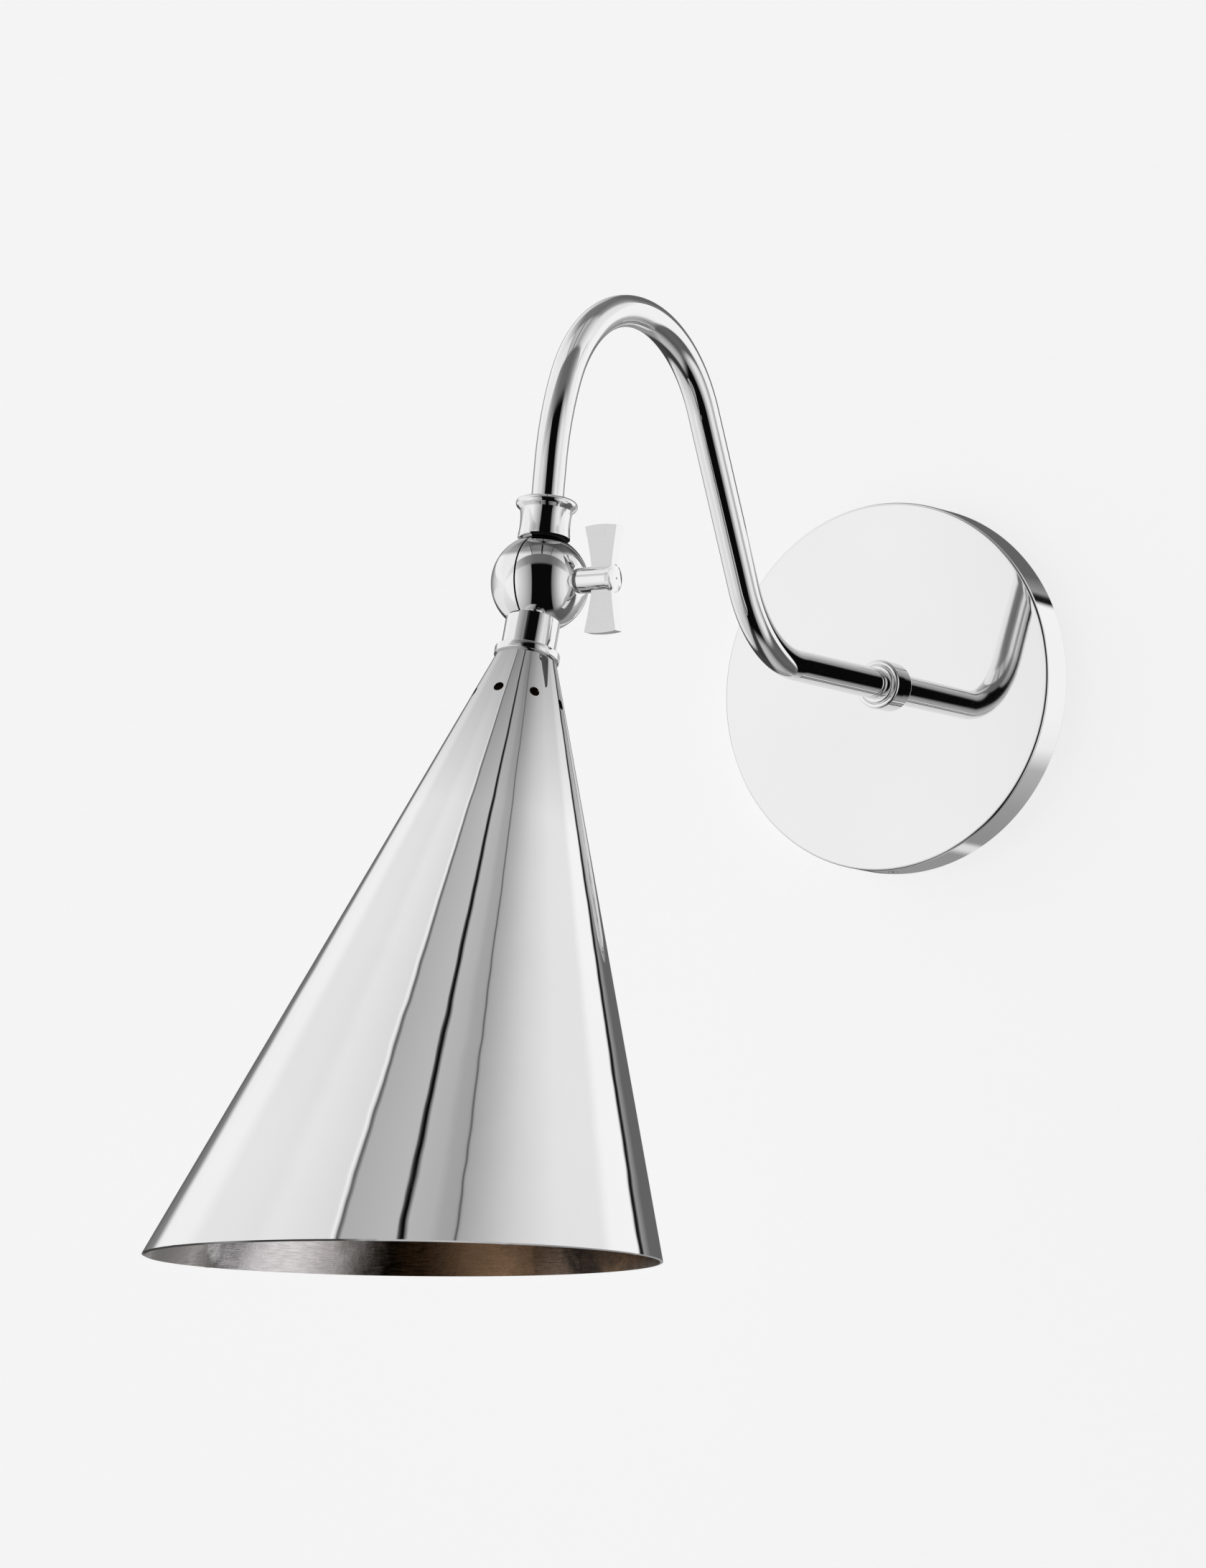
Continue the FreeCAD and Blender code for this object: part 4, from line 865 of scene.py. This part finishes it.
def studio_surround():
    """White tent round the lamp, with a dark opening in front and a grey strip overhead.

    Directions are told by two angles: across, to the right of the plane that runs from the
    opening over the lamp, and over, from the opening (0) to straight above (90) and behind.
    """
    world = bpy.data.worlds.new("studio_tent")
    bpy.context.scene.world = world
    world.use_nodes = True
    nodes, links = world.node_tree.nodes, world.node_tree.links
    nodes.clear()
    direction = nodes.new("ShaderNodeTexCoord").outputs["Generated"]

    def maths(operation, *values):
        node = nodes.new("ShaderNodeMath")
        node.operation = operation
        for socket, value in zip(node.inputs, values):
            if isinstance(value, (int, float)):
                socket.default_value = value
            else:
                links.new(value, socket)
        return node.outputs[0]

    def along(axis):
        node = nodes.new("ShaderNodeVectorMath")
        node.operation = "DOT_PRODUCT"
        links.new(direction, node.inputs[0])
        node.inputs[1].default_value = axis
        return node.outputs["Value"]

    across = maths("DEGREES", maths("ARCSINE", along(VIEW_RIGHT)))
    over = maths("DEGREES", maths("ARCTAN2", along(VIEW_UP), along(VIEW_BACK)))

    def curve(value, stops):
        """Brightness along an angle: straight lines between (degrees, brightness)."""
        low, high = stops[0][0], stops[-1][0]
        node = nodes.new("ShaderNodeValToRGB")
        steps = node.color_ramp.elements
        while len(steps) < len(stops):
            steps.new(0.5)
        for step, (angle, level) in zip(steps, stops):
            step.position = (angle - low) / (high - low)
            step.color = (level, level, level, 1)
        scaled = maths("DIVIDE", maths("SUBTRACT", value, low), high - low)
        links.new(scaled, node.inputs["Fac"])
        return node.outputs["Color"]

    def blend(factor, first, second):
        node = nodes.new("ShaderNodeMix")
        node.data_type = "RGBA"
        links.new(factor, node.inputs["Factor"])
        for name, value in (("A", first), ("B", second)):
            if isinstance(value, float):
                node.inputs[name].default_value = (value, value, value, 1)
            else:
                links.new(value, node.inputs[name])
        return node.outputs["Result"]

    overhead = curve(across, [
        (-90, 0.92), (-45, 0.88), (-30, 0.84), (-17, 0.76), (-15.7, 1.05), (-15.1, 0.10),
        (-14.3, 0.10), (-13.6, 0.45), (-5, 0.49), (2.2, 0.52), (2.9, 0.004), (4.6, 0.004),
        (5.3, 0.50), (12, 0.47), (15, 0.40), (19.6, 0.38), (20.4, 0.09), (21.2, 0.40), (28, 0.50),
        (38, 0.68), (52, 0.86), (62, 0.92), (64, 0.15), (65, 0.92), (75, 0.9), (90, 0.95)])
    overhead_far = curve(across, [
        (-90, 0.92), (-45, 0.88), (-30, 0.78), (-20, 0.45), (-10, 0.2), (20, 0.16), (34, 0.3),
        (43, 0.8), (90, 0.95)])
    ceiling = curve(across, [
        (-90, 0.9), (-60, 0.75), (-45, 0.48), (-28, 0.24), (-12, 0.15), (20, 0.13), (36, 0.2),
        (52, 0.45), (65, 0.8), (90, 0.9)])
    front = curve(across, [
        (-90, 0.95), (-58, 0.92), (-50, 0.76), (-32, 0.50), (-20, 0.28), (-18, 0.003),
        (26, 0.003), (28, 0.16), (36, 0.38), (50, 0.78), (62, 0.88), (74, 0.6), (80, 0.3),
        (84, 0.6), (90, 0.9)])
    front_again = curve(across, [
        (-90, 0.95), (-40, 0.75), (-22, 0.5), (-10, 0.28), (-6, 0.003), (9, 0.003), (12, 0.25),
        (26, 0.45), (40, 0.7), (60, 0.9), (90, 0.95)])
    behind = curve(across, [
        (-90, 0.93), (-30, 0.93), (-12, 0.8), (-1, 0.5), (4, 0.13), (30, 0.13), (36, 0.3),
        (37.5, 0.01), (39.5, 0.01), (41, 0.97), (90, 0.95)])
    behind_level = curve(across, [
        (-90, 0.93), (-68, 0.86), (-48, 0.62), (-28, 0.3), (-8, 0.12), (30, 0.13), (36, 0.3),
        (37.5, 0.01), (39.5, 0.01), (41, 0.97), (90, 0.95)])
    behind_low = curve(across, [
        (-90, 0.9), (-30, 0.8), (-24, 0.06), (-9, 0.05), (-4, 0.3), (13, 0.3), (15, 0.75),
        (17, 0.75), (18.5, 0.28), (34, 0.33), (48, 0.46), (54, 0.9), (62, 0.97), (90, 0.9)])
    below = curve(across, [
        (-90, 0.9), (-50, 0.72), (-27, 0.55), (-22, 0.04), (-9, 0.04), (-3, 0.5), (8, 0.5),
        (20, 0.30), (28, 0.10), (50, 0.13), (72, 0.10), (90, 0.5)])

    def ease(value, start, end):
        node = nodes.new("ShaderNodeMapRange")
        node.interpolation_type = "SMOOTHSTEP"
        node.inputs["From Min"].default_value = start
        node.inputs["From Max"].default_value = end
        links.new(value, node.inputs["Value"])
        return node.outputs["Result"]

    seen = nodes.new("ShaderNodeLightPath")
    mirrored_twice = maths("GREATER_THAN", seen.outputs["Ray Depth"], 2.5)
    front = blend(mirrored_twice, front, front_again)
    upper = blend(ease(over, 45.0, 53.0), front, ceiling)
    upper = blend(ease(over, 72.0, 77.0), upper, overhead)
    upper = blend(ease(over, 99.0, 108.0), upper, overhead_far)
    upper = blend(ease(over, 132.0, 146.0), upper, behind)
    upper = blend(ease(over, 163.0, 170.0), upper, behind_level)
    lower_over = maths("MULTIPLY", over, -1.0)
    lower = blend(ease(lower_over, 66.0, 84.0), front, below)
    lower = blend(ease(lower_over, 118.0, 132.0), lower, behind_low)
    lower = blend(ease(lower_over, 170.0, 176.0), lower, behind_level)
    is_upper = maths("GREATER_THAN", over, 0.0)
    tent = blend(is_upper, lower, upper)

    shown = blend(seen.outputs["Is Camera Ray"], tent, 0.896)
    emitter = nodes.new("ShaderNodeBackground")
    links.new(shown, emitter.inputs["Color"])
    output = nodes.new("ShaderNodeOutputWorld")
    links.new(emitter.outputs[0], output.inputs["Surface"])
    world.cycles.sampling_method = "MANUAL"
    world.cycles.sample_map_resolution = 2048


def studio_floor():
    start_clean()
    bpy.ops.mesh.primitive_circle_add(vertices=96, radius=5.0, fill_type="NGON",
                                      location=(0, 0, -0.9))
    floor = active()
    bpy.ops.object.transform_apply(location=True, rotation=True, scale=True)
    floor.name = "studio_floor"
    paint = bpy.data.materials.new("pale_floor")
    paint.use_nodes = True
    shader = paint.node_tree.nodes["Principled BSDF"]
    shader.inputs["Base Color"].default_value = (0.9, 0.9, 0.9, 1)
    shader.inputs["Roughness"].default_value = 0.8
    floor.data.materials.append(paint)
    floor.visible_glossy = False


def studio_wall():
    """The wall that the plate is on: it shows from the room side only, and takes soft shadows."""
    start_clean()
    bpy.ops.mesh.primitive_plane_add(size=3.0, location=(0, 0.0002, 0.2),
                                     rotation=(math.radians(90), 0, 0))
    wall = active()
    bpy.ops.object.transform_apply(location=True, rotation=True, scale=True)
    wall.name = "studio_wall"
    paint = bpy.data.materials.new("pale_wall")
    paint.use_nodes = True
    nodes, links = paint.node_tree.nodes, paint.node_tree.links
    nodes.clear()
    diffuse = nodes.new("ShaderNodeBsdfDiffuse")
    diffuse.inputs["Color"].default_value = (0.42, 0.42, 0.42, 1)
    glow = nodes.new("ShaderNodeEmission")
    glow.inputs["Color"].default_value = (1, 1, 1, 1)
    glow.inputs["Strength"].default_value = 0.725
    both = nodes.new("ShaderNodeAddShader")
    links.new(diffuse.outputs[0], both.inputs[0])
    links.new(glow.outputs[0], both.inputs[1])
    clear = nodes.new("ShaderNodeBsdfTransparent")
    back = nodes.new("ShaderNodeNewGeometry").outputs["Backfacing"]
    mix = nodes.new("ShaderNodeMixShader")
    links.new(back, mix.inputs["Fac"])
    links.new(both.outputs[0], mix.inputs[1])
    links.new(clear.outputs[0], mix.inputs[2])
    output = nodes.new("ShaderNodeOutputMaterial")
    links.new(mix.outputs[0], output.inputs["Surface"])
    wall.data.materials.append(paint)
    wall.visible_diffuse = False
    wall.visible_glossy = False
    wall.visible_shadow = False
    wall.visible_transmission = False


def studio_camera():
    data = bpy.data.cameras.new("studio_camera")
    camera = bpy.data.objects.new("studio_camera", data)
    bpy.context.scene.collection.objects.link(camera)
    data.sensor_width = 36.0
    data.lens = 225.6
    data.clip_start, data.clip_end = 0.05, 50.0
    turn = Matrix((VIEW_RIGHT, VIEW_UP, VIEW_BACK)).transposed().to_4x4()
    camera.matrix_world = Matrix.Translation((1.5681, -2.7741, -0.4071)) @ turn
    bpy.context.scene.camera = camera


studio_surround()
studio_floor()
studio_wall()
studio_camera()
bpy.context.scene.view_settings.view_transform = "Standard"

start_clean()
